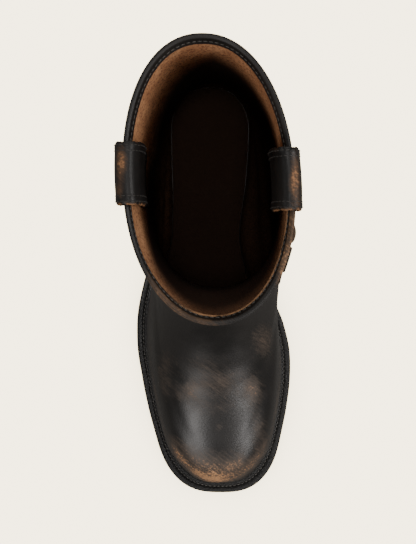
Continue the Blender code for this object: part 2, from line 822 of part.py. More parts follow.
def pull_strap(label, side, collection, wall, shift):
    """A loop over the collar: sewn outside, free over the rim, and sewn lower down inside."""
    place, stand = PULL_SIDES[label]
    middle = -place + shift[1]
    lay = PULL_GAP + PULL_THICK / 2
    columns = []
    for offset in np.linspace(-0.5, 0.5, PULL_ACROSS + 1) * PULL_WIDTH:
        along = middle + offset
        rim = wall.across(along, COLLAR_TOP - 12, side, True)
        line = []
        for drop in (PULL_OUTSIDE, 0.6 * PULL_OUTSIDE, 0.35 * PULL_OUTSIDE):
            height = COLLAR_TOP - drop
            line.append((wall.across(along, height, side, True) + side * lay, along, height))
        for out, rise in PULL_LOOP:
            line.append((rim + side * (out + stand), along, COLLAR_TOP + rise))
        for rise in PULL_INSIDE:
            height = COLLAR_TOP + rise
            line.append((wall.across(along, height, side, False) - side * lay, along, height))
        columns.append(smooth_line(np.array(line), PULL_ROWS))
    rows = [[Vector(column[k]) for column in columns] for k in range(PULL_ROWS)]
    sheet("pull_strap_" + label, rows, PULL_THICK, collection, "black_leather")


def smooth_line(points, count):
    """A smooth line through a few points, evenly spaced."""
    steps = np.linalg.norm(np.diff(points, axis=0), axis=1)
    at = np.concatenate([[0.0], np.cumsum(steps)])
    fine = np.linspace(0, at[-1], 40 * len(points))
    slopes = np.gradient(points, at, axis=0)
    k = np.clip(np.searchsorted(at, fine, side="right") - 1, 0, len(at) - 2)
    gap = (at[k + 1] - at[k])[:, None]
    t = (fine - at[k])[:, None] / gap
    start = points[k] * (1 + 2 * t) * (1 - t) ** 2 + slopes[k] * gap * t * (1 - t) ** 2
    end = points[k + 1] * t * t * (3 - 2 * t) + slopes[k + 1] * gap * t * t * (t - 1)
    return resample(start + end, count)


def centre_across(collection):
    """Moves every piece so that the whole boot is centred across the origin."""
    graph = bpy.context.evaluated_depsgraph_get()
    places = []
    for thing in collection.objects:
        shown = thing.evaluated_get(graph)
        places += [(shown.matrix_world @ vertex.co).x for vertex in shown.data.vertices]
    for thing in collection.objects:
        thing.location.x -= 0.5 * (min(places) + max(places))


def build_boot():
    remove_everything()
    collection = bpy.data.collections.new(COLLECTION)
    bpy.context.scene.collection.children.link(collection)

    edge = sole_loop(0.0, SOLE_THICK)
    middle = 0.5 * (edge[:, 0].min() + edge[:, 0].max())
    shift = np.array([-middle, SOLE_LENGTH / 2, 0.0])

    sole = [sole_loop(SOLE_EDGE, 0.0), sole_loop(0.0, SOLE_EDGE), edge]
    plate("outsole", place_loops(sole, shift), collection, "sole_leather")
    heel_pieces(collection, shift)

    skin = Skin(sections())
    lapped, shaft, inside = upper_loops(skin)
    upper = [*lapped, *shaft, *inside]
    band("upper", place_loops(upper, shift), collection, "black_leather")
    band("collar_binding", place_loops(binding_loops(skin), shift), collection, "black_leather")
    band("welt", place_loops(welt_loops(skin, lapped), shift), collection, "welt_leather")
    plate("insole", place_loops(insole_loops(inside), shift), collection, "suede")

    wall = Wall(upper, shift)
    for label, side in (("lateral", -1), ("medial", 1)):
        pull_strap(label, side, collection, wall, shift)
    harness(collection, wall)
    centre_across(collection)


build_boot()
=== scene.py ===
import math

import bmesh
import bpy
import numpy as np
from mathutils import Matrix, Vector
from mathutils.bvhtree import BVHTree


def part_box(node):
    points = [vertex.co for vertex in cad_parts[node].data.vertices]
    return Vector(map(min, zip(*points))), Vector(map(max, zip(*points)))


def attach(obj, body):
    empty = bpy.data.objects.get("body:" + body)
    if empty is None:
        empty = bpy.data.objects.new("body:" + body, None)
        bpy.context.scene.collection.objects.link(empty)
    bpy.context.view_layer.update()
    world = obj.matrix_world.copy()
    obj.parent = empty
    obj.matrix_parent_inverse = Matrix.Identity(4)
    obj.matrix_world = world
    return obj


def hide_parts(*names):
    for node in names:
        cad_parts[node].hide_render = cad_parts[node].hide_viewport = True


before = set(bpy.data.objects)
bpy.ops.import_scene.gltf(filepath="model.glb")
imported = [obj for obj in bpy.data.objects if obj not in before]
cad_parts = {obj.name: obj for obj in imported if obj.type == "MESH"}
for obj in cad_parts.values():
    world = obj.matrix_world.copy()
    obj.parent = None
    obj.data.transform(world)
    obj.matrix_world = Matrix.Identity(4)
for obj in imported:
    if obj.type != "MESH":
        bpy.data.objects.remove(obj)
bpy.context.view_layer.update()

mm = 0.001
mergeWithin = {"grid": 2e-6, "solid": 1e-5}
print("frame loaded")

# Sizes of the boot in millimetres, as in the part's source. Along runs from the heel's back to the
# toe, across is positive to the inner side of the foot, and the floor is at height 0.
sole = {
    "length": 304.0, "thick": 6.0, "edge": 1.2,
    "toeRound": 42.0, "toePower": 2.9, "heelRound": 36.0, "heelPower": 2.3,
    "breast": 76.0, "seatBack": 33.0, "seatFront": 29.5,
    "treadStart": 174.0, "treadEnd": 226.0, "spring": 11.0, "outlinePoints": 721,
    # along, half width, centre
    "stations": np.array([
        (0, 34.0, 1.5), (32, 35.5, 1.5), (76, 34.5, 0.8), (108, 35.7, -1.4), (140, 43.1, -2.2),
        (160, 49.4, -1.0), (180, 54.8, 1.8), (200, 56.7, 4.3), (220, 55.2, 6.1), (241, 51.9, 7.0),
        (268, 45.4, 7.9), (304, 36.6, 9.2),
    ]),
}
welt = {"thick": 3.6, "edge": 0.6, "rest": 10.0, "restHeel": 5.0, "widens": (60.0, 135.0)}
upper = {
    "wall": 2.4, "layer": 1.1, "bulge": 1.5, "gap": 0.35, "collarTop": 300.0, "sideColumns": 112,
    "seamBack": 94.0, "seamSide": 66.0, "seamFront": 126.0, "seamSideAt": 0.32, "seamLip": 0.004,
    "rowsBelow": 84, "rowsAbove": 72, "rowsInside": 56, "swellAt": 150.0, "swellReach": 38.0,
    "rimWall": 1.2, "thinsFrom": 255.0, "thinsTo": 288.0, "fineLevels": 600, "normalStep": 0.004,
}
sectionColumns = (
    "front", "frontZ", "back", "backZ", "half", "widest", "frontPower", "backPower",
    "frontX", "backX", "foot", "swell",
)
sections = {
    "feather": (294.0, 17.0, 4.5, 39.3, 44.0, 0.62, 2.6, 2.6, 8.4, 1.5, 1.0, 0.0),
    "wall": (295.6, 30.0, 3.2, 50.0, 44.0, 0.62, 2.6, 2.6, 8.4, 1.5, 1.0, 0.6),
    "toeShoulder": (292.4, 43.0, 2.6, 61.0, 43.5, 0.61, 2.4, 2.6, 8.2, 1.7, 0.5, 1.6),
    "toeTop": (284.0, 52.5, 3.2, 71.0, 41.5, 0.58, 2.15, 2.6, 7.8, 2.0, 0.3, 3.0),
    "toeCrown": (266.0, 59.0, 4.4, 79.5, 40.5, 0.50, 2.0, 2.6, 7.0, 2.4, 0.12, 3.8),
    "vampLow": (240.0, 66.5, 6.0, 88.5, 40.5, 0.50, 2.0, 2.5, 6.0, 2.8, 0.0, 4.2),
    "vampMiddle": (212.0, 77.5, 7.6, 98.0, 40.8, 0.50, 2.0, 2.4, 5.2, 3.2, 0.0, 4.4),
    "vampHigh": (187.0, 92.5, 9.2, 109.0, 41.2, 0.50, 2.05, 2.2, 4.6, 3.4, 0.0, 4.6),
    "instep": (167.5, 112.0, 10.6, 122.0, 42.0, 0.50, 2.15, 2.1, 4.4, 3.4, 0.0, 5.0),
    "throat": (155.0, 135.0, 11.4, 138.5, 43.0, 0.50, 2.25, 2.0, 4.4, 3.2, 0.0, 4.8),
    "ankle": (150.0, 161.0, 11.6, 161.0, 43.5, 0.50, 2.3, 2.0, 4.6, 2.6, 0.0, 3.0),
    "leg": (150.5, 196.0, 11.0, 196.0, 43.6, 0.50, 2.3, 2.1, 4.6, 1.4, 0.0, 1.2),
    "calf": (155.0, 246.0, 9.4, 246.0, 44.4, 0.51, 2.2, 2.15, 4.4, -1.0, 0.0, 0.2),
    "collar": (162.1, 298.4, 6.7, 298.4, 45.5, 0.52, 2.1, 2.17, 4.0, -3.2, 0.0, 0.0),
}


# A smooth run from start to end, with what it gains at each end over the whole step
def bent(t, start, end, leave, arrive):
    first = start * (1 + 2 * t) * (1 - t) ** 2 + leave * t * (1 - t) ** 2
    return first + end * t * t * (3 - 2 * t) + arrive * t * t * (t - 1)


def through(stations, values, at):
    at = np.clip(np.asarray(at, float), stations[0], stations[-1])
    run = np.diff(stations)
    rise = np.diff(values) / run
    slope = np.zeros_like(values)
    slope[0] = rise[0]
    slope[-1] = rise[-1]
    for k in range(1, len(values) - 1):
        if rise[k - 1] * rise[k] > 0:
            before = 2 * run[k] + run[k - 1]
            after = run[k] + 2 * run[k - 1]
            slope[k] = (before + after) / (before / rise[k - 1] + after / rise[k])
    k = np.clip(np.searchsorted(stations, at, side="right") - 1, 0, len(run) - 1)
    t = (at - stations[k]) / run[k]
    return bent(t, values[k], values[k + 1], slope[k] * run[k], slope[k + 1] * run[k])


def ease(value):
    value = np.clip(value, 0.0, 1.0)
    return value * value * (3 - 2 * value)


# Rises from start, or falls from it where over is negative
def ramp(value, start, over):
    return ease((value - start) / over)


def bell(value, centre, reach):
    return np.exp(-((value - centre) / reach) ** 2)


def waves(rows, at):
    return sum(size * np.sin(pace * at + start) for size, pace, start in rows)


def rounded(distance, power):
    return (1 - np.clip(distance, 0, 1) ** power) ** (1 / power)


def soleBottom(along):
    along = np.asarray(along, float)
    fall = (sole["seatFront"] - sole["seatBack"]) / sole["breast"]
    seat = sole["seatBack"] + fall * along
    span = sole["treadStart"] - sole["breast"]
    t = np.clip((along - sole["breast"]) / span, 0, 1)
    waist = bent(t, sole["seatFront"], 0.0, fall * span, 0.0)
    past = np.clip(along - sole["treadEnd"], 0, None) / (sole["length"] - sole["treadEnd"])
    toe = sole["spring"] * past ** 2
    return np.where(along < sole["breast"], seat, np.where(along < sole["treadStart"], waist, toe))


def soleTop(along):
    return soleBottom(along) + sole["thick"]


# Half width, with a round heel end, and centre of the sole
def soleHalf(along, back, inset):
    half = through(sole["stations"][:, 0], sole["stations"][:, 1], along) - inset
    return half * rounded((back + sole["heelRound"] - along) / sole["heelRound"], sole["heelPower"])


def soleCentre(along):
    return through(sole["stations"][:, 0], sole["stations"][:, 2], along)


def solePlan(t, front, back, inset):
    along = back + (front - back) * t
    toe = rounded((along - front + sole["toeRound"]) / sole["toeRound"], sole["toePower"])
    return along, soleHalf(along, back, inset(along)) * toe, soleCentre(along)


def weltRest(along):
    start, end = welt["widens"]
    return welt["restHeel"] + (welt["rest"] - welt["restHeel"]) * ramp(along, start, end - start)


def spread():
    return 0.5 * (1 - np.cos(np.pi * np.linspace(0, 1, sole["outlinePoints"])))


def lengthAlong(points):
    steps = np.linalg.norm(np.diff(points, axis=0), axis=1)
    return np.concatenate([[0.0], np.cumsum(steps)])


def readAt(points, length, at):
    return np.stack([np.interp(at, length, points[:, k]) for k in range(3)], axis=-1)


def resample(points, count):
    length = lengthAlong(points)
    return readAt(points, length, np.linspace(0, length[-1], count))


def planLoop(along, outer, inner, centre, height):
    sides = []
    for edge in (centre - outer, centre + inner):
        line = np.stack([edge, -along, height], axis=1)
        sides.append(resample(line, upper["sideColumns"] + 1))
    return np.concatenate([sides[0], sides[1][-2:0:-1]])


def soleLoop(inset, lift):
    along, half, centre = solePlan(spread(), sole["length"] - inset, inset, lambda s: inset)
    return planLoop(along, half, half, centre, soleBottom(along) + lift)


def sectionLoops():
    t = spread()
    loops = []
    for number, values in enumerate(sections.values()):
        row = dict(zip(sectionColumns, values))
        front = np.clip((t - row["widest"]) / (1 - row["widest"]), 0, 1)
        back = np.clip((row["widest"] - t) / row["widest"], 0, 1)
        plain = row["half"] * rounded(front, row["frontPower"]) * rounded(back, row["backPower"])
        bulge = upper["bulge"] if number else 0.0
        along, foot, footCentre = solePlan(t, row["front"], row["back"], lambda s: weltRest(s) - bulge)
        half = plain + (foot - plain) * row["foot"]
        centre = row["backX"] + (row["frontX"] - row["backX"]) * t
        centre = centre + (footCentre - centre) * row["foot"]
        height = row["backZ"] + (row["frontZ"] - row["backZ"]) * t
        riseBack = row["backZ"] - soleTop(row["back"])
        riseFront = row["frontZ"] - soleTop(row["front"])
        swept = soleTop(along) + riseBack + (riseFront - riseBack) * t
        if number == 0:
            swept = soleTop(along) + upper["gap"]
        swell = row["swell"] * bell(along, upper["swellAt"], upper["swellReach"]) * half / half.max()
        loops.append(planLoop(along, half, half + swell, centre, height + (swept - height) * row["foot"]))
    return np.array(loops)


# The outer face as a smooth surface: a level from 0 to 1 upwards in each column round the boot
class Skin:
    def __init__(self, loops):
        self.loops = loops
        steps = np.linalg.norm(np.diff(loops, axis=0), axis=2).mean(axis=1)
        self.levels = np.concatenate([[0.0], np.cumsum(steps)]) / steps.sum()
        self.columns = loops.shape[1]
        gaps = np.diff(self.levels)[:, None, None]
        rises = np.diff(loops, axis=0) / gaps
        middle = (rises[:-1] * gaps[1:] + rises[1:] * gaps[:-1]) / (gaps[:-1] + gaps[1:])
        self.tangents = np.concatenate([rises[:1], middle, rises[-1:]])
        self.fine = np.linspace(0, 1, upper["fineLevels"])
        self.fineHeights = self.points(np.repeat(self.fine[:, None], self.columns, axis=1))[:, :, 2]

    def points(self, levels):
        k = np.clip(np.searchsorted(self.levels, levels, side="right") - 1, 0, len(self.levels) - 2)
        column = np.broadcast_to(np.arange(self.columns), levels.shape)
        gap = (self.levels[k + 1] - self.levels[k])[..., None]
        t = (levels - self.levels[k])[..., None] / gap
        leave, arrive = (self.tangents[number, column] * gap for number in (k, k + 1))
        return bent(t, self.loops[k, column], self.loops[k + 1, column], leave, arrive)

    def normals(self, levels):
        points = self.points(levels)
        around = np.roll(points, -1, axis=1) - np.roll(points, 1, axis=1)
        step = upper["normalStep"]
        lift = self.points(np.minimum(levels + step, 1)) - self.points(np.maximum(levels - step, 0))
        out = np.cross(around, lift)
        return out / np.linalg.norm(out, axis=2, keepdims=True)

    def atHeight(self, heights):
        found = [np.interp(heights[i], self.fineHeights[:, i], self.fine) for i in range(self.columns)]
        return np.array(found)


skin = Skin(sectionLoops())
edgeLoop = soleLoop(0.0, sole["thick"])
soleLow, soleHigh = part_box("outsole")
shift = np.array([0.5 * (soleLow.x + soleHigh.x) / mm, sole["length"] / 2, 0.0])
shift[0] -= 0.5 * (edgeLoop[:, 0].min() + edgeLoop[:, 0].max())
# Where a column is round the boot: 0 at the back, 0.25 outer side, 0.5 front, 0.75 inner side
columnPlace = np.arange(skin.columns) / skin.columns
print("surfaces ready")


def flatOut(normals):
    level = normals * np.array([1.0, 1.0, 0.0])
    return level / np.linalg.norm(level, axis=-1, keepdims=True)


def seated(loop):
    loop = loop.copy()
    loop[:, 2] = soleTop(-loop[:, 1]) + upper["gap"]
    return loop


def loopOut(loop):
    around = np.roll(loop, -1, axis=0) - np.roll(loop, 1, axis=0)
    return flatOut(np.cross(around, np.array([0.0, 0.0, 1.0])))


# A grid whose points are placed row by row. Rows run round the piece.
def gridOf(rows, closed=True, ring=False, innerFrom=None):
    rows = np.asarray(rows, float)
    if closed:
        rows = np.concatenate([rows, rows[:, :1]], axis=1)
    if ring:
        rows = np.concatenate([rows, rows[:1]])
    high = rows.shape[0] - 1
    wide = rows.shape[1] - 1
    bm = bmesh.new()
    bmesh.ops.create_grid(bm, x_segments=wide, y_segments=high, size=0.5)
    uv = bm.loops.layers.uv.new("place")
    for face in bm.faces:
        for corner in face.loops:
            corner[uv].uv = (corner.vert.co.x + 0.5, corner.vert.co.y + 0.5)
        if innerFrom is not None and (face.calc_center_median().y + 0.5) * high > innerFrom:
            face.material_index = 1
    for vert in bm.verts:
        across = round((vert.co.x + 0.5) * wide)
        down = round((vert.co.y + 0.5) * high)
        vert.co = Vector((rows[down, across] + shift) * mm)
    bmesh.ops.remove_doubles(bm, verts=bm.verts, dist=mergeWithin["grid"])
    return bm


def placed(name, data):
    made = bpy.data.objects.new(name, data)
    bpy.context.scene.collection.objects.link(made)
    return made


def settle(name, bm, materials, nodeName=None, sharp=40):
    mesh = bpy.data.meshes.new(name)
    bm.to_mesh(mesh)
    bm.free()
    for material in materials:
        mesh.materials.append(material)
    mesh.shade_smooth()
    mesh.set_sharp_from_angle(angle=math.radians(sharp))
    piece = placed(name, mesh)
    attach(piece, "root")
    if nodeName:
        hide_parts(nodeName)
    return piece


# A value on each point, by a rule of across, along and height
def paintOn(piece, layerName, rule):
    mesh = piece.data
    places = np.empty(len(mesh.vertices) * 3)
    mesh.vertices.foreach_get("co", places)
    places = places.reshape(-1, 3) / mm - shift
    layer = mesh.attributes.new(layerName, "FLOAT", "POINT")
    values = np.clip(rule(places[:, 0], -places[:, 1], places[:, 2]), 0, 1)
    layer.data.foreach_set("value", values.astype(np.float32))


def spot(x, along, centre, reach):
    return np.exp(-((x - centre[0]) / reach[0]) ** 2 - ((along - centre[1]) / reach[1]) ** 2)


# Small helpers for materials
def dial(node, values):
    for label, value in values.items():
        node.inputs[label].default_value = value


def sumOf(tree, operation, *values):
    made = tree.nodes.new("ShaderNodeMath")
    made.operation = operation
    for number, value in enumerate(values):
        if isinstance(value, (int, float)):
            made.inputs[number].default_value = value
        else:
            tree.links.new(value, made.inputs[number])
    return made.outputs[0]


def added(tree, base, extra, share):
    return sumOf(tree, "ADD", base, sumOf(tree, "MULTIPLY", extra, share))


def ranged(tree, value, low, high, toLow=0.0, toHigh=1.0):
    made = tree.nodes.new("ShaderNodeMapRange")
    made.interpolation_type = "SMOOTHSTEP"
    tree.links.new(value, made.inputs[0])
    for number, setting in enumerate((low, high, toLow, toHigh), 1):
        made.inputs[number].default_value = setting
    return made.outputs[0]


def blended(tree, factor, first, second):
    made = tree.nodes.new("ShaderNodeMix")
    made.data_type = "RGBA"
    tree.links.new(factor, made.inputs[0])
    for number, colour in ((6, first), (7, second)):
        if isinstance(colour, tuple):
            made.inputs[number].default_value = (*colour, 1.0)
        else:
            tree.links.new(colour, made.inputs[number])
    return made.outputs[2]


def noise(tree, place, scale, detail, rough=0.5, stretch=None, turn=0.0):
    if stretch:
        turned = tree.nodes.new("ShaderNodeMapping")
        turned.vector_type = "TEXTURE"
        dial(turned, {"Rotation": (0.0, 0.0, math.radians(turn)), "Scale": stretch})
        tree.links.new(place, turned.inputs["Vector"])
        place = turned.outputs[0]
    made = tree.nodes.new("ShaderNodeTexNoise")
    dial(made, {"Scale": scale, "Detail": detail, "Roughness": rough})
    tree.links.new(place, made.inputs["Vector"])
    return made.outputs[0]


def groupOf(name, inputs, outputs):
    tree = bpy.data.node_groups.new(name, "ShaderNodeTree")
    for label, kind in inputs:
        tree.interface.new_socket(label, in_out="INPUT", socket_type=kind)
    for label in outputs:
        tree.interface.new_socket(label, in_out="OUTPUT", socket_type="NodeSocketFloat")
    return tree, tree.nodes.new("NodeGroupInput"), tree.nodes.new("NodeGroupOutput")


def useGroup(tree, group, **feeds):
    made = tree.nodes.new("ShaderNodeGroup")
    made.node_tree = group
    for label, source in feeds.items():
        tree.links.new(source, made.inputs[label])
    return made.outputs


def blank(name):
    material = bpy.data.materials.new(name)
    material.use_nodes = True
    tree = material.node_tree
    shader = tree.nodes["Principled BSDF"]
    place = tree.nodes.new("ShaderNodeTexCoord").outputs["Object"]
    return material, tree, shader, place


def bumped(tree, shader, height, strength, distance):
    made = tree.nodes.new("ShaderNodeBump")
    dial(made, {"Strength": strength, "Distance": distance})
    tree.links.new(height, made.inputs["Height"])
    tree.links.new(made.outputs[0], shader.inputs["Normal"])


# Grain of the hide: fine cells, soft wrinkles and slow changes of tone
hide = {
    "cells": 850.0, "cellShare": 0.55, "wrinkles": 210.0, "fine": 1400.0, "fineShare": 0.25,
    "tone": 26.0, "toneRange": (0.3, 0.7),
}


def makeHideGrain():
    tree, given, put = groupOf("hide grain", [("Place", "NodeSocketVector")], ("Height", "Tone"))
    place = given.outputs["Place"]
    cells = tree.nodes.new("ShaderNodeTexVoronoi")
    cells.feature = "SMOOTH_F1"
    dial(cells, {"Scale": hide["cells"]})
    tree.links.new(place, cells.inputs["Vector"])
    wrinkles = noise(tree, place, hide["wrinkles"], detail=5.0, rough=0.55)
    fine = noise(tree, place, hide["fine"], detail=3.0, rough=0.6)
    tone = noise(tree, place, hide["tone"], detail=6.0, rough=0.6)
    height = added(tree, wrinkles, cells.outputs["Distance"], hide["cellShare"])
    tree.links.new(added(tree, height, fine, hide["fineShare"]), put.inputs["Height"])
    tree.links.new(ranged(tree, tone, *hide["toneRange"]), put.inputs["Tone"])
    return tree


# Where a rubbed place has lost its black: grain, scratches and blotches inside the given amount
rubbed = {
    "fine": 700.0, "fineWorn": 0.3, "fineBare": 1.4, "blotches": 75.0, "blotchShare": 0.55,
    "scratches": 900.0, "scratchStretch": (10.0, 1.0, 5.0), "scratchTurn": -38.0, "scratchShare": 0.6,
    "inside": (0.0, 0.3), "worn": (0.15, 0.8), "heavy": (0.42, 0.72), "bare": (0.55, 1.05),
}


def makeRubbing():
    wanted = [("Place", "NodeSocketVector"), ("Rub", "NodeSocketFloat")]
    tree, given, put = groupOf("rubbing", wanted, ("Worn", "Bare"))
    place = given.outputs["Place"]
    rub = given.outputs["Rub"]

    def centred(scale, detail, rough, **lay):
        return sumOf(tree, "SUBTRACT", noise(tree, place, scale, detail, rough, **lay), 0.5)

    lay = {"stretch": rubbed["scratchStretch"], "turn": rubbed["scratchTurn"]}
    fine = centred(rubbed["fine"], 3.0, 0.6)
    uneven = added(tree, rub, centred(rubbed["blotches"], 4.0, 0.55), rubbed["blotchShare"])
    uneven = added(tree, uneven, centred(rubbed["scratches"], 3.0, 0.6, **lay), rubbed["scratchShare"])
    for label, share, within in (("worn", "fineWorn", "inside"), ("bare", "fineBare", "heavy")):
        lost = ranged(tree, added(tree, uneven, fine, rubbed[share]), *rubbed[label])
        kept = ranged(tree, rub, *rubbed[within])
        tree.links.new(sumOf(tree, "MULTIPLY", lost, kept), put.inputs[label.capitalize()])
    return tree


hideGrain = makeHideGrain()
rubbing = makeRubbing()
leatherFinish = {"roughSway": 0.05, "wornRough": 0.18, "coatRough": 0.32, "grainDepth": 0.0004}


def leather(name, look):
    material, tree, shader, place = blank(name)
    grain = useGroup(tree, hideGrain, Place=place)
    given = tree.nodes.new("ShaderNodeAttribute")
    given.attribute_name = "rub"
    wear = useGroup(tree, rubbing, Place=place, Rub=given.outputs["Fac"])
    colour = blended(tree, grain["Tone"], look["dark"], look["pale"])
    colour = blended(tree, wear["Worn"], colour, look["worn"])
    colour = blended(tree, wear["Bare"], colour, look["bare"])
    tree.links.new(colour, shader.inputs["Base Color"])
    sway = leatherFinish["roughSway"]
    rough = ranged(tree, grain["Tone"], 0.0, 1.0, look["rough"] - sway, look["rough"] + sway)
    rough = added(tree, rough, wear["Worn"], leatherFinish["wornRough"])
    tree.links.new(rough, shader.inputs["Roughness"])
    dial(shader, {"Specular IOR Level": look["shine"], "Coat Weight": look["coat"]})
    dial(shader, {"Coat Roughness": leatherFinish["coatRough"]})
    bumped(tree, shader, grain["Height"], look["bump"], leatherFinish["grainDepth"])
    return material


leatherLooks = {
    "upperLeather": {
        "dark": (0.007, 0.0064, 0.0059), "pale": (0.013, 0.0114, 0.0102), "worn": (0.092, 0.066, 0.048),
        "bare": (0.54, 0.28, 0.13), "rough": 0.4, "shine": 0.5, "coat": 0.1, "bump": 0.2,
    },
    "bindingLeather": {
        "dark": (0.009, 0.008, 0.0075), "pale": (0.016, 0.014, 0.012), "worn": (0.10, 0.058, 0.032),
        "bare": (0.40, 0.22, 0.11), "rough": 0.54, "shine": 0.36, "coat": 0.03, "bump": 0.2,
    },
    "strapLeather": {
        "dark": (0.0045, 0.0043, 0.0042), "pale": (0.009, 0.0082, 0.0076), "worn": (0.085, 0.046, 0.024),
        "bare": (0.29, 0.138, 0.06), "rough": 0.44, "shine": 0.32, "coat": 0.0, "bump": 0.28,
    },
    "weltLeather": {
        "dark": (0.004, 0.0038, 0.0036), "pale": (0.008, 0.0073, 0.0067), "worn": (0.06, 0.036, 0.021),
        "bare": (0.2, 0.12, 0.07), "rough": 0.42, "shine": 0.4, "coat": 0.0, "bump": 0.9,
    },
    "soleLeather": {
        "dark": (0.009, 0.008, 0.007), "pale": (0.017, 0.0145, 0.0125), "worn": (0.05, 0.032, 0.02),
        "bare": (0.14, 0.09, 0.055), "rough": 0.5, "shine": 0.45, "coat": 0.08, "bump": 0.25,
    },
}
leathers = {name: leather(name, look) for name, look in leatherLooks.items()}


def suede(name, look):
    material, tree, shader, place = blank(name)
    nap = noise(tree, place, look["nap"], 4.0, 0.65, (1.0, 1.0, look["napStretch"]))
    blotch = noise(tree, place, look["blotches"], 5.0, 0.6, (1.0, 1.0, look["blotchStretch"]))
    colour = blended(tree, ranged(tree, blotch, *look["blotchRange"]), look["tan"], look["brown"])
    specks = sumOf(tree, "MULTIPLY", ranged(tree, nap, *look["speckRange"]), look["specks"])
    colour = blended(tree, specks, colour, look["speck"])
    # Painted shade: where the paintedShade attribute is high, the lining goes to its deep colour, the shade
    # deep inside the shaft
    given = tree.nodes.new("ShaderNodeAttribute")
    given.attribute_name = "paintedShade"
    colour = blended(tree, given.outputs["Fac"], colour, look["deep"])
    tree.links.new(colour, shader.inputs["Base Color"])
    dial(shader, {"Roughness": look["rough"], "Specular IOR Level": look["shine"]})
    bumped(tree, shader, nap, look["bump"], look["napDepth"])
    return material


# The deep colour is painted shade: the dark the lining takes deep inside the shaft
liningLook = {
    "tan": (0.58, 0.30, 0.15), "brown": (0.42, 0.20, 0.095), "speck": (0.13, 0.052, 0.03),
    "deep": (0.035, 0.0205, 0.0145), "nap": 700.0, "napStretch": 1.8, "napDepth": 0.0006, "bump": 0.6,
    "blotches": 110.0, "blotchStretch": 2.0, "blotchRange": (0.32, 0.68), "speckRange": (0.46, 0.64),
    "specks": 0.7, "rough": 0.95, "shine": 0.1,
}
# Painted shade of the lining, darker downwards as light falls off inside the shaft: place round the boot,
# depth where it starts and ends, tone
liningShadeByPlace = np.array([
    (0.00, 20.0, 74.0, 0.95), (0.12, 66.0, 142.0, 1.0), (0.20, 100.0, 195.0, 1.0), (0.28, 50.0, 125.0, 1.0),
    (0.37, 8.0, 58.0, 0.78), (0.50, 2.0, 42.0, 0.36), (0.63, 6.0, 64.0, 0.36), (0.75, 58.0, 155.0, 0.92),
    (0.88, 50.0, 125.0, 0.98),
])
lining = suede("liningSuede", liningLook)


# One colour with a fine bump, for threads and rubber
def plainFinish(name, look):
    material, tree, shader, place = blank(name)
    dial(shader, {"Base Color": (*look["colour"], 1.0), "Roughness": look["rough"]})
    bumped(tree, shader, noise(tree, place, look["fine"], look["detail"]), look["bump"], look["depth"])
    return material


twisted = {"rough": 0.6, "fine": 2600.0, "detail": 2.0, "bump": 0.3, "depth": 0.0002}
plainLooks = {
    "weltThread": {"colour": (0.085, 0.079, 0.071), **twisted},
    "greyThread": {"colour": (0.075, 0.068, 0.06), **twisted},
    "blackThread": {"colour": (0.03, 0.027, 0.024), **twisted},
    "heelRubber": {
        "colour": (0.012, 0.012, 0.0125), "rough": 0.7, "fine": 900.0, "detail": 4.0, "bump": 0.3,
        "depth": 0.0003,
    },
}
plainFinishes = {name: plainFinish(name, look) for name, look in plainLooks.items()}


def steel(name, look):
    material, tree, shader, place = blank(name)
    tarnish = ranged(tree, noise(tree, place, look["tarnish"], 6.0, 0.65), *look["tarnishRange"])
    colour = blended(tree, tarnish, look["bright"], look["dull"])
    tree.links.new(colour, shader.inputs["Base Color"])
    tree.links.new(ranged(tree, tarnish, 0.0, 1.0, *look["rough"]), shader.inputs["Roughness"])
    dial(shader, {"Metallic": 1.0})
    return material


ringSteel = steel("ringSteel", {
    "bright": (0.46, 0.44, 0.40), "dull": (0.20, 0.17, 0.13), "tarnish": 140.0, "tarnishRange": (0.4, 0.7),
    "rough": (0.24, 0.48),
})
print("materials ready")

# Creases of the ankle: place round the boot, half length, height, bow, width, depth
ankleFolds = (
    (0.50, 0.17, 182.0, -9.0, 6.5, 1.9),
    (0.47, 0.14, 203.0, -7.0, 7.5, 1.4),
    (0.30, 0.11, 186.0, 7.0, 7.0, 1.5),
    (0.71, 0.11, 190.0, 7.0, 7.0, 1.5),
    (0.27, 0.09, 210.0, -5.0, 7.5, 1.0),
    (0.74, 0.09, 214.0, -5.0, 7.5, 1.0),
    (0.00, 0.12, 160.0, 6.0, 8.0, 1.3),
    (0.03, 0.10, 182.0, 5.0, 8.0, 1.0),
)
# Flex lines of the vamp: middle across, half length, along, bow, width, depth
vampFolds = (
    (4.0, 33.0, 208.0, -7.0, 4.5, 0.30),
    (6.0, 28.0, 220.0, -6.0, 4.5, 0.24),
)
# Ridge beside each trough, and the height from which the vamp has its lines
foldForm = {"ridge": 0.32, "ridgeAt": 1.9, "ridgeReach": 0.8, "vampOver": 45.0}
# The toe's front wall leans back a little over the welt
toeLean = {"from": 266.0, "over": 22.0, "height": 37.0, "reach": 13.0, "depth": 2.8}


def trough(distance, width):
    line = distance / width
    ridge = bell(np.abs(line), foldForm["ridgeAt"], foldForm["ridgeReach"])
    return foldForm["ridge"] * ridge - bell(line, 0.0, 1.0)


def creased(points):
    moved = np.zeros(points.shape[:2])
    for place, half, height, bow, width, depth in ankleFolds:
        off = ((columnPlace - place + 0.5) % 1 - 0.5) / half
        fade = np.clip(1 - off ** 2, 0, 1) ** 2
        moved += depth * fade * trough(points[:, :, 2] - height - bow * off ** 2, width)
    for middle, half, along, bow, width, depth in vampFolds:
        off = (points[:, :, 0] - middle) / half
        fade = np.clip(1 - off ** 2, 0, 1) ** 2 * (points[:, :, 2] > foldForm["vampOver"])
        moved += depth * fade * trough(-points[:, :, 1] - along - bow * off ** 2, width)
    ahead = ramp(-points[:, :, 1], toeLean["from"], toeLean["over"])
    level = bell(points[:, :, 2], toeLean["height"], toeLean["reach"])
    return (moved - toeLean["depth"] * ahead * level)[:, :, None]


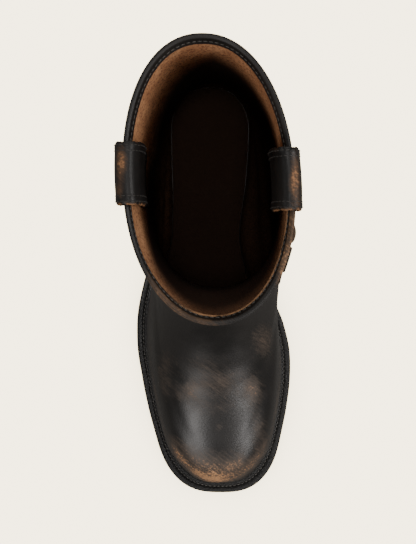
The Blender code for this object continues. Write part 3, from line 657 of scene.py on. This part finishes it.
def seamHeights():
    place = 1 - np.abs(2 * columnPlace - 1)
    side = upper["seamSideAt"]
    behind = upper["seamBack"] + (upper["seamSide"] - upper["seamBack"]) * ease(place / side)
    ahead = upper["seamSide"] + (upper["seamFront"] - upper["seamSide"]) * ramp(place, side, 1 - side)
    return np.where(place < side, behind, ahead)


# Vamp, counter and shaft: the lapped layer with its cut edge, the shaft and the lining
lapEdge = skin.atHeight(seamHeights()) - upper["seamLip"]
below = np.linspace(0, 1, upper["rowsBelow"])[:, None] * lapEdge
# Cut edge of the layer: levels past the edge, share of the layer, and the level where the shaft starts
lapCut = ((0.0007, 0.85), (0.0012, 0.45), (0.0014, 0.08))
lapEnd = 0.0022
above = (lapEdge + lapEnd) + np.linspace(0, 1, upper["rowsAbove"])[:, None] * (1 - lapEdge - lapEnd)
lapped = skin.points(below) + skin.normals(below) * (upper["layer"] + creased(skin.points(below)))
lapped[0] = seated(lapped[0])
cutRows = []
for reach, share in lapCut:
    levels = (lapEdge + reach)[None, :]
    cutRows.append((skin.points(levels) + skin.normals(levels) * (upper["layer"] * share))[0])
shaft = skin.points(above) + skin.normals(above) * creased(skin.points(above))
insideLevels = np.linspace(1, 0, upper["rowsInside"])[:, None] * np.ones(skin.columns)
inside = skin.points(insideLevels)
thins = ramp(inside[:, :, 2:], upper["thinsFrom"], upper["thinsTo"] - upper["thinsFrom"])
inside = inside - skin.normals(insideLevels) * (upper["wall"] + (upper["rimWall"] - upper["wall"]) * thins)
inside[0, :, 2] = shaft[-1, :, 2]
inside[-1] = seated(inside[-1])
upperRows = np.concatenate([lapped, np.array(cutRows), shaft, inside])
upperMesh = gridOf(upperRows, ring=True, innerFrom=len(lapped) + len(cutRows) + len(shaft) - 0.5)
wallTree = BVHTree.FromBMesh(upperMesh)
upperPiece = settle(
    "bootUpper", upperMesh, [leathers["upperLeather"], lining], "upper", sharp=50
)

# Rubbed places of the upper: across, along, reach across, reach along, amount
upperRubs = (
    (2.0, 219.0, 38.0, 28.0, 0.36),
    (4.0, 215.0, 18.0, 15.0, 0.47),
    (-11.5, 224.0, 12.0, 12.0, 0.56),
    (32.0, 223.0, 10.0, 12.0, 0.6),
    (38.5, 187.0, 9.0, 15.0, 0.5),
    (-30.0, 212.0, 9.0, 24.0, 0.34),
    (8.0, 250.0, 4.0, 4.0, 0.45),
    (-24.0, 266.0, 12.0, 14.0, 0.45),
    (36.0, 252.0, 8.0, 18.0, 0.42),
)
# Heights between which these places count
rubHeights = (40.0, 110.0)
# Other rub: start and run along, height, its reach, amount
rubBands = {
    "heel": (14.0, -10.0, 62.0, 16.0, 0.5), "sides": (120.0, 40.0, 40.0, 9.0, 0.34),
    "grains": (246.0, 26.0, 55.0, 6.0, 0.6),
}
# Burnish of the toe, by heights and by places across, each with its reach and amount
toeRub = {
    "from": 242.0, "over": 34.0, "heights": ((48.0, 9.5, 1.0), (35.0, 6.0, 0.5)), "even": 0.68,
    "across": ((3.5, 9.0, 0.34), (-21.0, 7.0, 0.08), (33.0, 8.0, -0.1)), "grainsEnd": (34.0, -12.0),
}
# The lining's middle and half size at the collar, and the painted light at the foot of the wall, which takes
# back part of the painted shade
liningShadeForm = {
    "centre": (3.0, 80.0), "half": (45.0, 75.0), "lit": 0.19, "litSway": 0.1,
    "deepFrom": 165.0, "deepOver": 60.0,
}


def rubUpper(x, along, z):
    def band(name):
        begin, over, height, reach, amount = rubBands[name]
        return amount * ramp(along, begin, over) * bell(z, height, reach)

    rubs = [band("heel"), band("sides"), band("grains") * ramp(x, *toeRub["grainsEnd"])]
    onVamp = (z > rubHeights[0]) * (z < rubHeights[1])
    for across, place, wide, long, amount in upperRubs:
        rubs.append(amount * spot(x, along, (across, place), (wide, long)) * onVamp)
    shoulder = sum(amount * bell(z, height, reach) for height, reach, amount in toeRub["heights"])
    middle = sum(amount * bell(x, across, reach) for across, reach, amount in toeRub["across"])
    rubs.append(ramp(along, toeRub["from"], toeRub["over"]) * shoulder * (toeRub["even"] + middle))
    return np.maximum.reduce(rubs)


# Painted shade: the lining goes toward its deep colour with depth, by the table round the boot
def paintLiningShade(x, along, z):
    (middle, centre), (half, halfLong) = liningShadeForm["centre"], liningShadeForm["half"]
    place = (np.arctan2(-(x - middle) / half, (centre - along) / halfLong) / (2 * np.pi)) % 1
    starts, ends, tone = (np.interp(place, liningShadeByPlace[:, 0], liningShadeByPlace[:, k], period=1) for k in (1, 2, 3))
    deep = upper["collarTop"] - z
    # Painted light at the foot of the wall takes back part of the painted shade, more on the outer side
    lit = liningShadeForm["lit"] + liningShadeForm["litSway"] * np.sin(2 * np.pi * place)
    shade = 1 - tone * (1 - ramp(deep, starts, ends - starts))
    return shade * (1 - lit * ramp(deep, liningShadeForm["deepFrom"], liningShadeForm["deepOver"]))


paintOn(upperPiece, "rub", rubUpper)
# The lining's painted shade, with painted light at the foot of the wall
paintOn(upperPiece, "paintedShade", paintLiningShade)
print("upper ready")

# Turned binding of the collar, with a hem that wavers a little inside
binding = {
    "thick": 1.0, "lips": 0.55, "lean": 1.4, "inside": 8.0, "wallGap": 0.05,
    "outerThread": 0.4, "innerThread": 0.8,
    # size, count round the boot, start
    "waver": ((0.4, 7, 0.6), (0.24, 13, 2.0)),
    # place round the boot where the hem stands upright, its reach, how far
    "upright": (0.33, 0.09, 0.9),
    # outer face: drop under the rim, distance past the face
    "outerFace": ((7.0, -0.75), (7.0, -0.25), (6.6, 0.0), (4.5, 0.12), (2.0, 0.12)),
    # share of the way from the outer face to the inner, and rise over the wall
    "crest": (
        (0.0, 0.0), (0.02, 0.3), (0.08, 0.58), (0.17, 0.72), (0.25, 0.72), (0.31, 0.86), (0.4, 1.0),
        (0.5, 0.98), (0.62, 0.84), (0.76, 0.66), (0.89, 0.44), (0.97, 0.2), (1.0, 0.0),
    ),
    # inner face and hem: drop under the rim, or height over the hem's edge, and share of the lean
    "innerFace": ((1.5, 0.05), (3.0, 0.2), (4.8, 0.4)),
    "hem": ((2.4, 0.52), (1.9, 0.6), (1.2, 0.85), (0.6, 1.0), (0.0, 0.85)),
}


def bindingRows():
    top = skin.loops[-1][:, 2]
    hemEdge = binding["inside"] + waves(binding["waver"], 2 * np.pi * columnPlace)

    def laid(drop, distance, rise=0.0):
        level = skin.atHeight(top - drop)[None, :]
        loop = skin.points(level)[0] + flatOut(skin.normals(level)[0]) * np.reshape(distance, (-1, 1))
        loop[:, 2] = top - drop + rise
        return loop

    near = upper["gap"]
    far = near + binding["thick"]
    wall = upper["rimWall"]
    behind = -wall - binding["wallGap"]
    uprightAt, uprightReach, uprightShare = binding["upright"]
    soft = 1 - uprightShare * bell(columnPlace, uprightAt, uprightReach)
    lip = wall + binding["lips"] * soft
    lean = binding["lean"] * soft
    outer = [laid(drop, far + past) for drop, past in binding["outerFace"]]
    crest = [laid(0.0, far - (far + lip) * share, far * rise) for share, rise in binding["crest"]]
    inner = [laid(drop, -lip - share * lean) for drop, share in binding["innerFace"]]
    hem = [laid(hemEdge - rise, -lip - share * lean) for rise, share in binding["hem"]]
    under = [laid(hemEdge, behind), laid(0.0, behind, near), laid(0.0, near, near)]
    outerHem = outer[2] + (outer[3] - outer[2]) * binding["outerThread"]
    innerHem = inner[1] + (inner[2] - inner[1]) * binding["innerThread"]
    return outer + crest + inner + hem + under, outerHem, innerHem


bindingGrid, outerHem, innerHem = bindingRows()
bindingPiece = settle(
    "collarBinding", gridOf(bindingGrid, ring=True), [leathers["bindingLeather"]],
    "collar_binding",
)
# Pairs give where a rub starts, across or along, and over what distance
bindingRub = {
    "all": 0.05, "front": 0.5, "frontAlong": (118.0, 30.0), "frontAcross": (24.0, -30.0),
    "inner": 0.6, "innerAlong": (92.0, 14.0), "innerAcross": (34.0, 6.0), "crestAt": 299.0, "crestReach": 2.6,
    "hem": 0.9, "hemAlong": (70.0, 20.0), "hemAcross": (-34.0, 30.0), "hemUnder": 292.75, "hemWithin": 0.97,
    "bendLength": 165.0,
}
collar = dict(zip(sectionColumns, sections["collar"]))


def rubBinding(x, along, z):
    def patch(name):
        lengthwise = ramp(along, *bindingRub[name + "Along"])
        return bindingRub[name] * lengthwise * ramp(x, *bindingRub[name + "Across"])

    crest = bell(z, bindingRub["crestAt"], bindingRub["crestReach"])
    middle = collar["backX"] + (collar["frontX"] - collar["backX"]) * along / bindingRub["bendLength"]
    halfLong = (collar["front"] - collar["back"]) / 2
    across = np.abs(x - middle) / collar["half"]
    lengthwise = np.abs(along - collar["back"] - halfLong) / halfLong
    within = across ** collar["frontPower"] + lengthwise ** collar["frontPower"] < bindingRub["hemWithin"]
    rawHem = patch("hem") * within * (z < bindingRub["hemUnder"])
    return np.maximum((patch("front") + patch("inner") + bindingRub["all"]) * crest, rawHem)


paintOn(bindingPiece, "rub", rubBinding)


# Welt: its edge, its top with the thread's channel, and the joint with the upper
weltForm = {
    # side: distance in from the edge, drop under the top
    "side": ((-0.15, 2.4), (0.0, 0.7), (0.25, 0.2)),
    # top: share of the way from the edge to the joint, drop
    "top": (
        (0.08, 0.0), (0.3, 0.0), (0.47, 0.0), (0.53, 0.3), (0.6, 0.45), (0.67, 0.3), (0.73, 0.0), (0.96, 0.0),
        (1.0, 0.15),
    ),
    "thread": (0.6, 0.1),
}


def weltRows():
    gap = upper["gap"]
    foot = sole["thick"] + gap
    top = foot + welt["thick"]
    high = soleLoop(welt["edge"], top)
    level = skin.atHeight(skin.loops[0][:, 2] + welt["thick"])[None, :]
    out = flatOut(skin.normals(level)[0])
    joint = skin.points(level)[0] + out * (upper["layer"] + gap)
    joint[:, 2] = soleTop(-joint[:, 1]) + gap + welt["thick"]
    under = lapped[0] + out * gap
    under[:, 2] = soleTop(-under[:, 1]) + gap

    def on(share, drop):
        row = high + (joint - high) * share
        row[:, 2] -= drop
        return row

    rows = [soleLoop(welt["edge"], foot)]
    rows += [soleLoop(welt["edge"] + inset, top - drop) for inset, drop in weltForm["side"]]
    rows += [on(share, drop) for share, drop in weltForm["top"]]
    return rows + [under], on(*weltForm["thread"])


weltGrid, weltLine = weltRows()
settle("stitchedWelt", gridOf(weltGrid, ring=True), [leathers["weltLeather"]], "welt")


def plateRows(loops, caps=(0.0, 0.35, 0.7, 0.94)):
    def spine(loop):
        line = loop.copy()
        line[:, 0] = 0.5 * (loop[:, 0] + np.roll(loop[::-1, 0], 1))
        line[:, 2] = 0.5 * (loop[:, 2] + np.roll(loop[::-1, 2], 1))
        return line

    first = [spine(loops[0]) + (loops[0] - spine(loops[0])) * share for share in caps]
    last = [spine(loops[-1]) + (loops[-1] - spine(loops[-1])) * share for share in caps]
    return first + list(loops) + last[::-1]


# Outsole: distance in from the edge, height
outsoleForm = (
    (1.2, 0.0), (0.5, 0.25), (0.12, 0.7), (0.0, 1.3), (-0.15, 3.0), (0.0, 4.9), (0.1, 5.6), (0.45, 6.0),
)
outsoleGrid = gridOf(plateRows([soleLoop(inset, height) for inset, height in outsoleForm]))
settle("leatherOutsole", outsoleGrid, [leathers["soleLeather"]], "outsole")

# The footbed is painted almost all in the lining's shade colour, as it lies deep in the shaft's shade
footbedForm = {"clear": 0.5, "round": 0.8, "edge": 2.6, "top": 3.2, "paintedShade": 0.98}
footLoop = inside[-1] - loopOut(inside[-1]) * footbedForm["clear"]
topLoop = footLoop - loopOut(footLoop) * footbedForm["round"]
footbedLoops = [seated(footLoop), seated(footLoop), seated(topLoop)]
footbedLoops[1][:, 2] += footbedForm["edge"]
footbedLoops[2][:, 2] += footbedForm["top"]
footbed = settle("footbed", gridOf(plateRows(footbedLoops)), [lining], "insole")
# Painted shade over the whole footbed
paintOn(footbed, "paintedShade", lambda x, along, z: footbedForm["paintedShade"] + 0 * x)
print("welt and sole ready")

# Heel of stacked leather layers, and the rubber lift under it
heel = {
    "lift": 6.0, "setBack": 0.8, "taper": 2.5, "undercut": 5.0, "breastUndercut": 3.0, "breastGap": 1.0,
    "layers": 4, "planPoints": 400, "sidePoints": 61, "breastPoints": 14, "sharp": 30,
    # groove between layers: share of the height, depth
    "groove": ((-0.014, 0.0), (-0.005, 0.22), (0.005, 0.22), (0.014, 0.0)),
    # lift: distance in from its side, with the height over the floor or the drop under its top
    "liftFoot": ((0.6, 0.0), (0.2, 0.3), (0.0, 0.8)), "liftTop": ((0.0, 0.3), (0.25, 0.0)),
}
heelFoot = {
    "back": heel["setBack"] + heel["undercut"], "breast": sole["breast"] - heel["breastUndercut"],
    "inset": heel["setBack"] + heel["taper"],
}


def heelLoop(back, breast, inset, height):
    along = back + (breast - back) * np.linspace(0, 1, heel["planPoints"]) ** 2
    half = soleHalf(along, back, inset)
    sides = []
    for side in (-1, 1):
        line = np.stack([soleCentre(along) + side * half, -along, np.zeros_like(along)], axis=1)
        sides.append(resample(line, heel["sidePoints"]))
    breastLine = np.linspace(sides[0][-1], sides[1][-1], heel["breastPoints"])[1:-1]
    loop = np.concatenate([sides[0], breastLine, sides[1][:0:-1]])
    loop[:, 2] = height(-loop[:, 1])
    return loop


def blockRows(loops):
    rows = []
    for loop, shares in ((loops[0], (0.0, 0.6, 0.98)), (loops[-1], (0.98, 0.6, 0.0))):
        middle = loop.mean(axis=0) * np.ones_like(loop)
        middle[:, 2] = loop[:, 2].mean()
        caps = [middle + (loop - middle) * share for share in shares]
        rows = rows + caps if loop is loops[-1] else caps + list(loops)
    return rows


def stackLoops():
    foot = heelLoop(**heelFoot, height=lambda s: 0 * s + heel["lift"] + upper["gap"])
    breast = sole["breast"] - heel["breastGap"]
    top = heelLoop(heel["setBack"], breast, heel["setBack"], lambda s: soleBottom(s) - upper["gap"])
    cuts = [(0.0, 0.0)]
    for layer in range(1, heel["layers"]):
        cuts += [(layer / heel["layers"] + off, depth) for off, depth in heel["groove"]]
    cuts.append((1.0, 0.0))
    return [foot + (top - foot) * at - loopOut(foot) * depth for at, depth in cuts]


def liftLoops():
    steps = list(heel["liftFoot"]) + [(inset, heel["lift"] - drop) for inset, drop in heel["liftTop"]]
    loops = []
    for inset, height in steps:
        back, breast = heelFoot["back"] + inset, heelFoot["breast"] - inset
        loops.append(heelLoop(back, breast, heelFoot["inset"] + inset, lambda s: 0 * s + height))
    return loops


for name, loops, material, slotName, nodeName in (
    ("heelStack", stackLoops(), leathers["soleLeather"], "heel_leather", "heel_stack"),
    ("heelLift", liftLoops(), plainFinishes["heelRubber"], "rubber", "heel_lift"),
):
    settle(name, gridOf(blockRows(loops)), [material], nodeName, heel["sharp"])
print("heel ready")

# Pull straps over the collar
pull = {
    "width": 33.0, "thick": 2.2, "gap": 0.7, "outside": 48.0, "sewnAt": (1.0, 0.6, 0.35),
    "inside": (-62.0, -76.0), "rimDrop": 12.0, "castFrom": 300.0, "rows": 150, "columns": 23,
    "finePoints": 60, "stitchRow": 4, "stitchColumns": (1, 3, -2, -4),
    # frayed edge: size, pace along the strap, start
    "fray": ((0.2, 0.7, 1.0), (0.16, 2.3, 0.0)), "frayPower": 9,
    # distance out from the wall, height over the collar
    "loop": (
        (3.1, -8.0), (3.4, 2.0), (3.0, 9.0), (0.6, 14.5), (-3.6, 15.5), (-7.8, 10.5), (-9.6, 1.0),
        (-10.2, -14.0), (-9.4, -30.0), (-7.4, -46.0),
    ),
}
# Thickness of a strap by the share of its half width
ribbon = {
    "even": 0.84, "hem": 0.32, "hemAt": 0.86, "hemReach": 0.1, "thin": 0.3, "thinFrom": 0.9, "thinOver": 0.1,
    "sideRound": 0.3,
}


def wallAcross(along, height, side, outside):
    start = Vector(((pull["castFrom"] * side if outside else 0.0), along, height)) * mm
    way = Vector((-side if outside else side, 0, 0))
    return wallTree.ray_cast(start, way)[0].x / mm


def smoothLine(points, count):
    at = lengthAlong(points)
    fine = np.linspace(0, at[-1], pull["finePoints"] * len(points))
    slopes = np.gradient(points, at, axis=0)
    k = np.clip(np.searchsorted(at, fine, side="right") - 1, 0, len(at) - 2)
    gap = (at[k + 1] - at[k])[:, None]
    t = (fine - at[k])[:, None] / gap
    return resample(bent(t, points[k], points[k + 1], slopes[k] * gap, slopes[k + 1] * gap), count)


# A strap from the middle surface: both faces, thinner to its edges, and closed ends
def ribbonRows(sheet, thick):
    ahead = np.gradient(sheet, axis=0)
    beside = np.gradient(sheet, axis=1)
    out = np.cross(beside, ahead)
    out /= np.linalg.norm(out, axis=2, keepdims=True)
    off = np.abs(np.linspace(-1, 1, sheet.shape[1]))
    hem = ribbon["hem"] * bell(off, ribbon["hemAt"], ribbon["hemReach"])
    thin = ribbon["thin"] * np.clip((off - ribbon["thinFrom"]) / ribbon["thinOver"], 0, 1) ** 2
    half = (0.5 * thick * (ribbon["even"] + hem - thin))[None, :, None]
    face = sheet + out * half
    back = sheet - out * half
    side = beside / np.linalg.norm(beside, axis=2, keepdims=True)
    right = sheet[:, -1:] + side[:, -1:] * ribbon["sideRound"]
    left = sheet[:, :1] - side[:, :1] * ribbon["sideRound"]
    rows = np.concatenate([face, right, back[:, ::-1], left], axis=1)
    closed = np.concatenate([sheet, sheet[:, -1:], sheet[:, ::-1], sheet[:, :1]], axis=1)
    return np.concatenate([closed[:1], rows, closed[-1:]]), face, out


def pullSheet(side, place, stand):
    lay = pull["gap"] + pull["thick"] / 2
    top = upper["collarTop"]
    columns = []
    for offset in np.linspace(-0.5, 0.5, pull["columns"]) * pull["width"]:
        along = shift[1] - place + offset
        rim = wallAcross(along, top - pull["rimDrop"], side, True)
        line = []
        for drop in np.multiply(pull["sewnAt"], pull["outside"]):
            line.append((wallAcross(along, top - drop, side, True) + side * lay, along, top - drop))
        line += [(rim + side * (out + stand), along, top + rise) for out, rise in pull["loop"]]
        for rise in pull["inside"]:
            line.append((wallAcross(along, top + rise, side, False) - side * lay, along, top + rise))
        columns.append(smoothLine(np.array(line), pull["rows"]))
    sheet = np.stack(columns, axis=1)
    edges = np.linspace(-1, 1, sheet.shape[1]) ** pull["frayPower"]
    sheet[:, :, 1] += waves(pull["fray"], np.arange(pull["rows"]))[:, None] * edges
    return sheet if side > 0 else sheet[:, ::-1]


# Rubbed places: across, along, reach across, reach along, amount
pullRubs = {
    "lateral": ((-46.0, 76.0, 3.2, 10.0, 0.9), (-47.0, 90.0, 3.0, 7.0, 0.5)),
    "medial": ((46.1, 85.0, 3.4, 16.0, 0.86), (47.0, 97.0, 3.0, 5.0, 0.6)),
}
pullWear = {"edge": 0.85, "edgeFrom": 0.495, "edgeOver": 294.0, "fadeFrom": 262.0, "fadeOver": 34.0}
# Side, middle along, distance that the loop stands off
pullPlaces = {"lateral": (-1, 81.5, 1.2), "medial": (1, 84.5, 0.0)}


def rubPull(x, along, z, spots, middle):
    atEdge = along > middle + pullWear["edgeFrom"] * pull["width"]
    amount = pullWear["edge"] * atEdge * (z > pullWear["edgeOver"])
    for across, place, wide, long, strength in spots:
        near = strength * spot(x, along, (across, place), (wide, long))
        amount = np.maximum(amount, near * ramp(z, pullWear["fadeFrom"], pullWear["fadeOver"]))
    return amount


pullLines = []
for label, (side, middle, stand) in pullPlaces.items():
    rows, face, out = ribbonRows(pullSheet(side, middle, stand) - shift, pull["thick"])
    pieceName, nodeName = "pullStrap_" + label, "pull_strap_" + label
    piece = settle(pieceName, gridOf(rows), [leathers["strapLeather"]], nodeName)
    paintOn(piece, "rub", lambda x, along, z: rubPull(x, along, z, pullRubs[label], middle))
    row = pull["stitchRow"]
    for column in pull["stitchColumns"]:
        pullLines.append((face[row + 1:, column], out[row + 1:, column]))
    pullLines.append((face[row, 2:-2], out[row, 2:-2]))
print("pull straps ready")

# Harness straps from the part's own solids, drawn onto the leather, with soft edges
harness = {
    "seat": 0.0007, "draw": 0.14, "joinAngle": 35, "joinSkew": 70, "cornerAngle": 55, "bevel": 0.0006,
    "levels": 2, "rub": 0.3, "ringRub": 0.35, "ringRubAt": (112.0, 138.0), "ringRubReach": (22.0, 14.0),
    "ringRadius": 0.0175, "ringTube": 0.0025, "ringSteps": 72, "tubeSides": 18,
}


def drawnIn(place):
    gap = wallTree.find_nearest(place)[0] - place
    return place + gap.normalized() * harness["seat"] + gap * harness["draw"]


def rubStrap(x, along, z):
    nearRing = spot(along, z, harness["ringRubAt"], harness["ringRubReach"]) * (x > 0)
    return harness["rub"] + harness["ringRub"] * nearRing


for nodeName in (
    "harness_instep_strap", "harness_heel_strap", "harness_sole_strap_lateral", "harness_sole_strap_medial",
):
    bm = bmesh.new()
    bm.from_mesh(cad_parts[nodeName].data)
    bmesh.ops.remove_doubles(bm, verts=bm.verts, dist=mergeWithin["solid"])
    for vert in bm.verts:
        vert.co = drawnIn(vert.co)
    bmesh.ops.join_triangles(
        bm, faces=bm.faces, angle_face_threshold=math.radians(harness["joinAngle"]),
        angle_shape_threshold=math.radians(harness["joinSkew"]),
    )
    steep = math.radians(harness["cornerAngle"])
    corners = [edge for edge in bm.edges if edge.is_manifold and edge.calc_face_angle() > steep]
    bmesh.ops.bevel(
        bm, geom=corners, offset=harness["bevel"], offset_type="OFFSET", segments=2, profile=0.5,
        affect="EDGES", material=-1, clamp_overlap=True,
    )
    pieceName = nodeName.replace("harness_", "harnessLeather_")
    piece = settle(pieceName, bm, [leathers["strapLeather"]], nodeName)
    soft = piece.modifiers.new("soft", "SUBSURF")
    soft.levels = harness["levels"]
    soft.render_levels = harness["levels"]
    paintOn(piece, "rub", rubStrap)

for label in ("lateral", "medial"):
    nodeName = "harness_ring_" + label
    places = np.array([vert.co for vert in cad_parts[nodeName].data.vertices])
    centre = (places.min(axis=0) + places.max(axis=0)) / 2
    axis = np.linalg.svd(places - centre)[2][2]
    bm = bmesh.new()
    bmesh.ops.create_circle(bm, segments=harness["tubeSides"], radius=harness["ringTube"])
    bmesh.ops.rotate(bm, verts=bm.verts, cent=(0, 0, 0), matrix=Matrix.Rotation(math.pi / 2, 3, "X"))
    bmesh.ops.translate(bm, verts=bm.verts, vec=(harness["ringRadius"], 0, 0))
    bmesh.ops.spin(
        bm, geom=bm.verts[:] + bm.edges[:], cent=(0, 0, 0), axis=(0, 0, 1), dvec=(0, 0, 0),
        angle=2 * math.pi, steps=harness["ringSteps"], use_merge=True,
    )
    bmesh.ops.recalc_face_normals(bm, faces=bm.faces)
    turned = Vector(axis).to_track_quat("Z", "Y").to_matrix().to_4x4()
    moved = Matrix.Translation(drawnIn(Vector(centre)))
    bmesh.ops.transform(bm, matrix=moved @ turned, verts=bm.verts)
    settle("harnessRing_" + label, bm, [ringSteel], nodeName)
print("harness ready")


# Stitches: one small shape laid along lines, as a single mesh, each turned by the line near it
turnReach = 0.5


def sewn(name, lines, look, material):
    bm = bmesh.new()
    bmesh.ops.create_uvsphere(bm, u_segments=6, v_segments=5, radius=0.5)
    bm.verts.ensure_lookup_table()
    shape = np.array([vert.co for vert in bm.verts])
    faces = [[vert.index for vert in face.verts] for face in bm.faces]
    bm.free()
    allPoints = []
    allFaces = []
    for points, outs in lines:
        length = lengthAlong(points)
        count = max(int(round(length[-1] / look["pitch"])), 1)
        for at in (np.arange(count) + 0.5) * length[-1] / count:
            out = readAt(outs, length, at)
            ahead = readAt(points, length, at + turnReach) - readAt(points, length, at - turnReach)
            ahead /= np.linalg.norm(ahead)
            out -= ahead * out.dot(ahead)
            out /= np.linalg.norm(out)
            beside = np.cross(out, ahead)
            laid = readAt(points, length, at) + out * look["sits"] + shape[:, 2:3] * ahead * look["length"]
            laid = laid + shape[:, :1] * beside * look["thick"] + shape[:, 1:2] * out * look["thick"]
            allFaces += [[index + len(allPoints) * len(shape) for index in face] for face in faces]
            allPoints.append((laid + shift) * mm)
    mesh = bpy.data.meshes.new(name)
    mesh.from_pydata(np.concatenate(allPoints).tolist(), [], allFaces)
    mesh.materials.append(material)
    mesh.shade_smooth()
    piece = placed(name, mesh)
    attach(piece, "root")


def closedLine(loop, outs):
    return np.concatenate([loop, loop[:1]]), np.concatenate([outs, outs[:1]])


def onSkin(drop, lift):
    levels = (lapEdge - drop)[None, :]
    outs = skin.normals(levels)[0]
    return closedLine(skin.points(levels)[0] + outs * lift, outs)


hemStitch = {"pitch": 3.1, "length": 2.4, "thick": 0.65, "sits": 0.05}
stitches = {
    "welt": {"pitch": 3.0, "length": 2.0, "thick": 0.95, "sits": 0.1},
    "seam": {"pitch": 2.9, "length": 2.3, "thick": 0.62, "sits": 0.08},
    "binding": hemStitch, "pull": hemStitch,
}
seamDrops = (0.0045, 0.0105)
upward = np.array([0.0, 0.0, 1.0]) * np.ones_like(weltLine)
hemLines = [closedLine(outerHem, loopOut(outerHem)), closedLine(innerHem, -loopOut(innerHem))]
seamLines = [onSkin(drop, upper["layer"]) for drop in seamDrops]
for label, lines, threadName in (
    ("welt", [closedLine(weltLine, upward)], "weltThread"), ("seam", seamLines, "greyThread"),
    ("binding", hemLines, "greyThread"), ("pull", pullLines, "blackThread"),
):
    sewn(label + "Stitches", lines, stitches[label], plainFinishes[threadName])
print("stitches ready")

# Floor, light and camera
stageLook = {
    "floor": (0.22, 0.213, 0.2), "floorHalf": 6.0, "paper": (1.0, 0.87, 0.62), "paperGlow": 5.4,
    "air": 0.12, "airTint": (1.0, 0.985, 0.96), "shadowReach": 0.035, "shadowGlow": 2.4,
    "lampTint": (1.0, 0.965, 0.945), "lampsAim": (0.0, -0.02, 0.1),
}


# One shader lights the boot, and the other shows to the camera
def shownToCamera(tree, lights, shows, outputName):
    seen = tree.nodes.new("ShaderNodeMixShader")
    tree.links.new(tree.nodes.new("ShaderNodeLightPath").outputs["Is Camera Ray"], seen.inputs[0])
    tree.links.new(lights.outputs[0], seen.inputs[1])
    tree.links.new(shows.outputs[0], seen.inputs[2])
    tree.links.new(seen.outputs[0], tree.nodes[outputName].inputs["Surface"])


bm = bmesh.new()
bmesh.ops.create_grid(bm, x_segments=1, y_segments=1, size=stageLook["floorHalf"])
floorMesh = bpy.data.meshes.new("floor")
bm.to_mesh(floorMesh)
bm.free()
floorMaterial, tree, shader, place = blank("paleFloor")
dial(shader, {"Base Color": (*stageLook["floor"], 1.0), "Roughness": 1.0, "Specular IOR Level": 0.0})
# The floor shows as bright paper, and lights the boot no more than a plain floor does
paper = tree.nodes.new("ShaderNodeEmission")
dial(paper, {"Color": (*stageLook["paper"], 1.0)})
# Painted contact shadow: the paper's glow falls from paperGlow to shadowGlow where ambient occlusion finds
# the boot near
near = tree.nodes.new("ShaderNodeAmbientOcclusion")
dial(near, {"Distance": stageLook["shadowReach"]})
glow = ranged(tree, near.outputs["AO"], 0.0, 1.0, stageLook["shadowGlow"], stageLook["paperGlow"])
tree.links.new(glow, paper.inputs["Strength"])
shownToCamera(tree, shader, paper, "Material Output")
floorMesh.materials.append(floorMaterial)
floor = placed("floor", floorMesh)

world = bpy.data.worlds.new("studio")
world.use_nodes = True
tree = world.node_tree
air = tree.nodes["Background"]
dial(air, {"Color": (*stageLook["airTint"], 1.0), "Strength": stageLook["air"]})
backdrop = tree.nodes.new("ShaderNodeBackground")
dial(backdrop, {"Color": (*stageLook["paper"], 1.0), "Strength": stageLook["paperGlow"]})
shownToCamera(tree, air, backdrop, "World Output")
bpy.context.scene.world = world

# place in metres, size across and along, watts
lamps = {
    "leftSoftbox": ((-0.73, -1.02, 1.2), (0.68, 0.5), 9.8),
    "rightSoftbox": ((0.97, -1.02, 1.2), (0.46, 0.5), 9.6),
    "innerSoftbox": ((1.4, 0.15, 1.1), (0.5, 0.7), 12.5),
    "outerSoftbox": ((-1.4, 0.5, 0.7), (0.5, 0.7), 2.7),
    "heelSoftbox": ((0.0, 1.3, 1.3), (1.0, 0.3), 7.0),
    "topSoftbox": ((0.0, 0.05, 1.8), (0.3, 0.3), 5.0),
}
for name, (place, size, watts) in lamps.items():
    lamp = bpy.data.lights.new(name, "AREA")
    lamp.shape = "RECTANGLE"
    lamp.size, lamp.size_y = size
    lamp.energy = watts
    lamp.color = stageLook["lampTint"]
    lit = placed(name, lamp)
    lit.location = place
    lit.rotation_euler = (Vector(stageLook["lampsAim"]) - Vector(place)).to_track_quat("-Z", "Y").to_euler()

# height in metres, along and sensor in millimetres, the rest in pixels of the photo's frame
view = {
    "height": 1.07, "along": 117.0, "sensor": 36.0, "pixelsPerView": 1426.0, "lean": 32.0, "tall": 544.0,
}
camera = placed("camera", bpy.data.cameras.new("camera"))
camera.data.sensor_width = view["sensor"]
camera.data.lens = view["sensor"] * view["pixelsPerView"] / view["tall"]
camera.location = (shift[0] * mm, (shift[1] - view["along"]) * mm, view["height"])
camera.rotation_euler = (-math.atan(view["lean"] / view["pixelsPerView"]), 0.0, 0.0)
bpy.context.scene.camera = camera

print("scene ready")
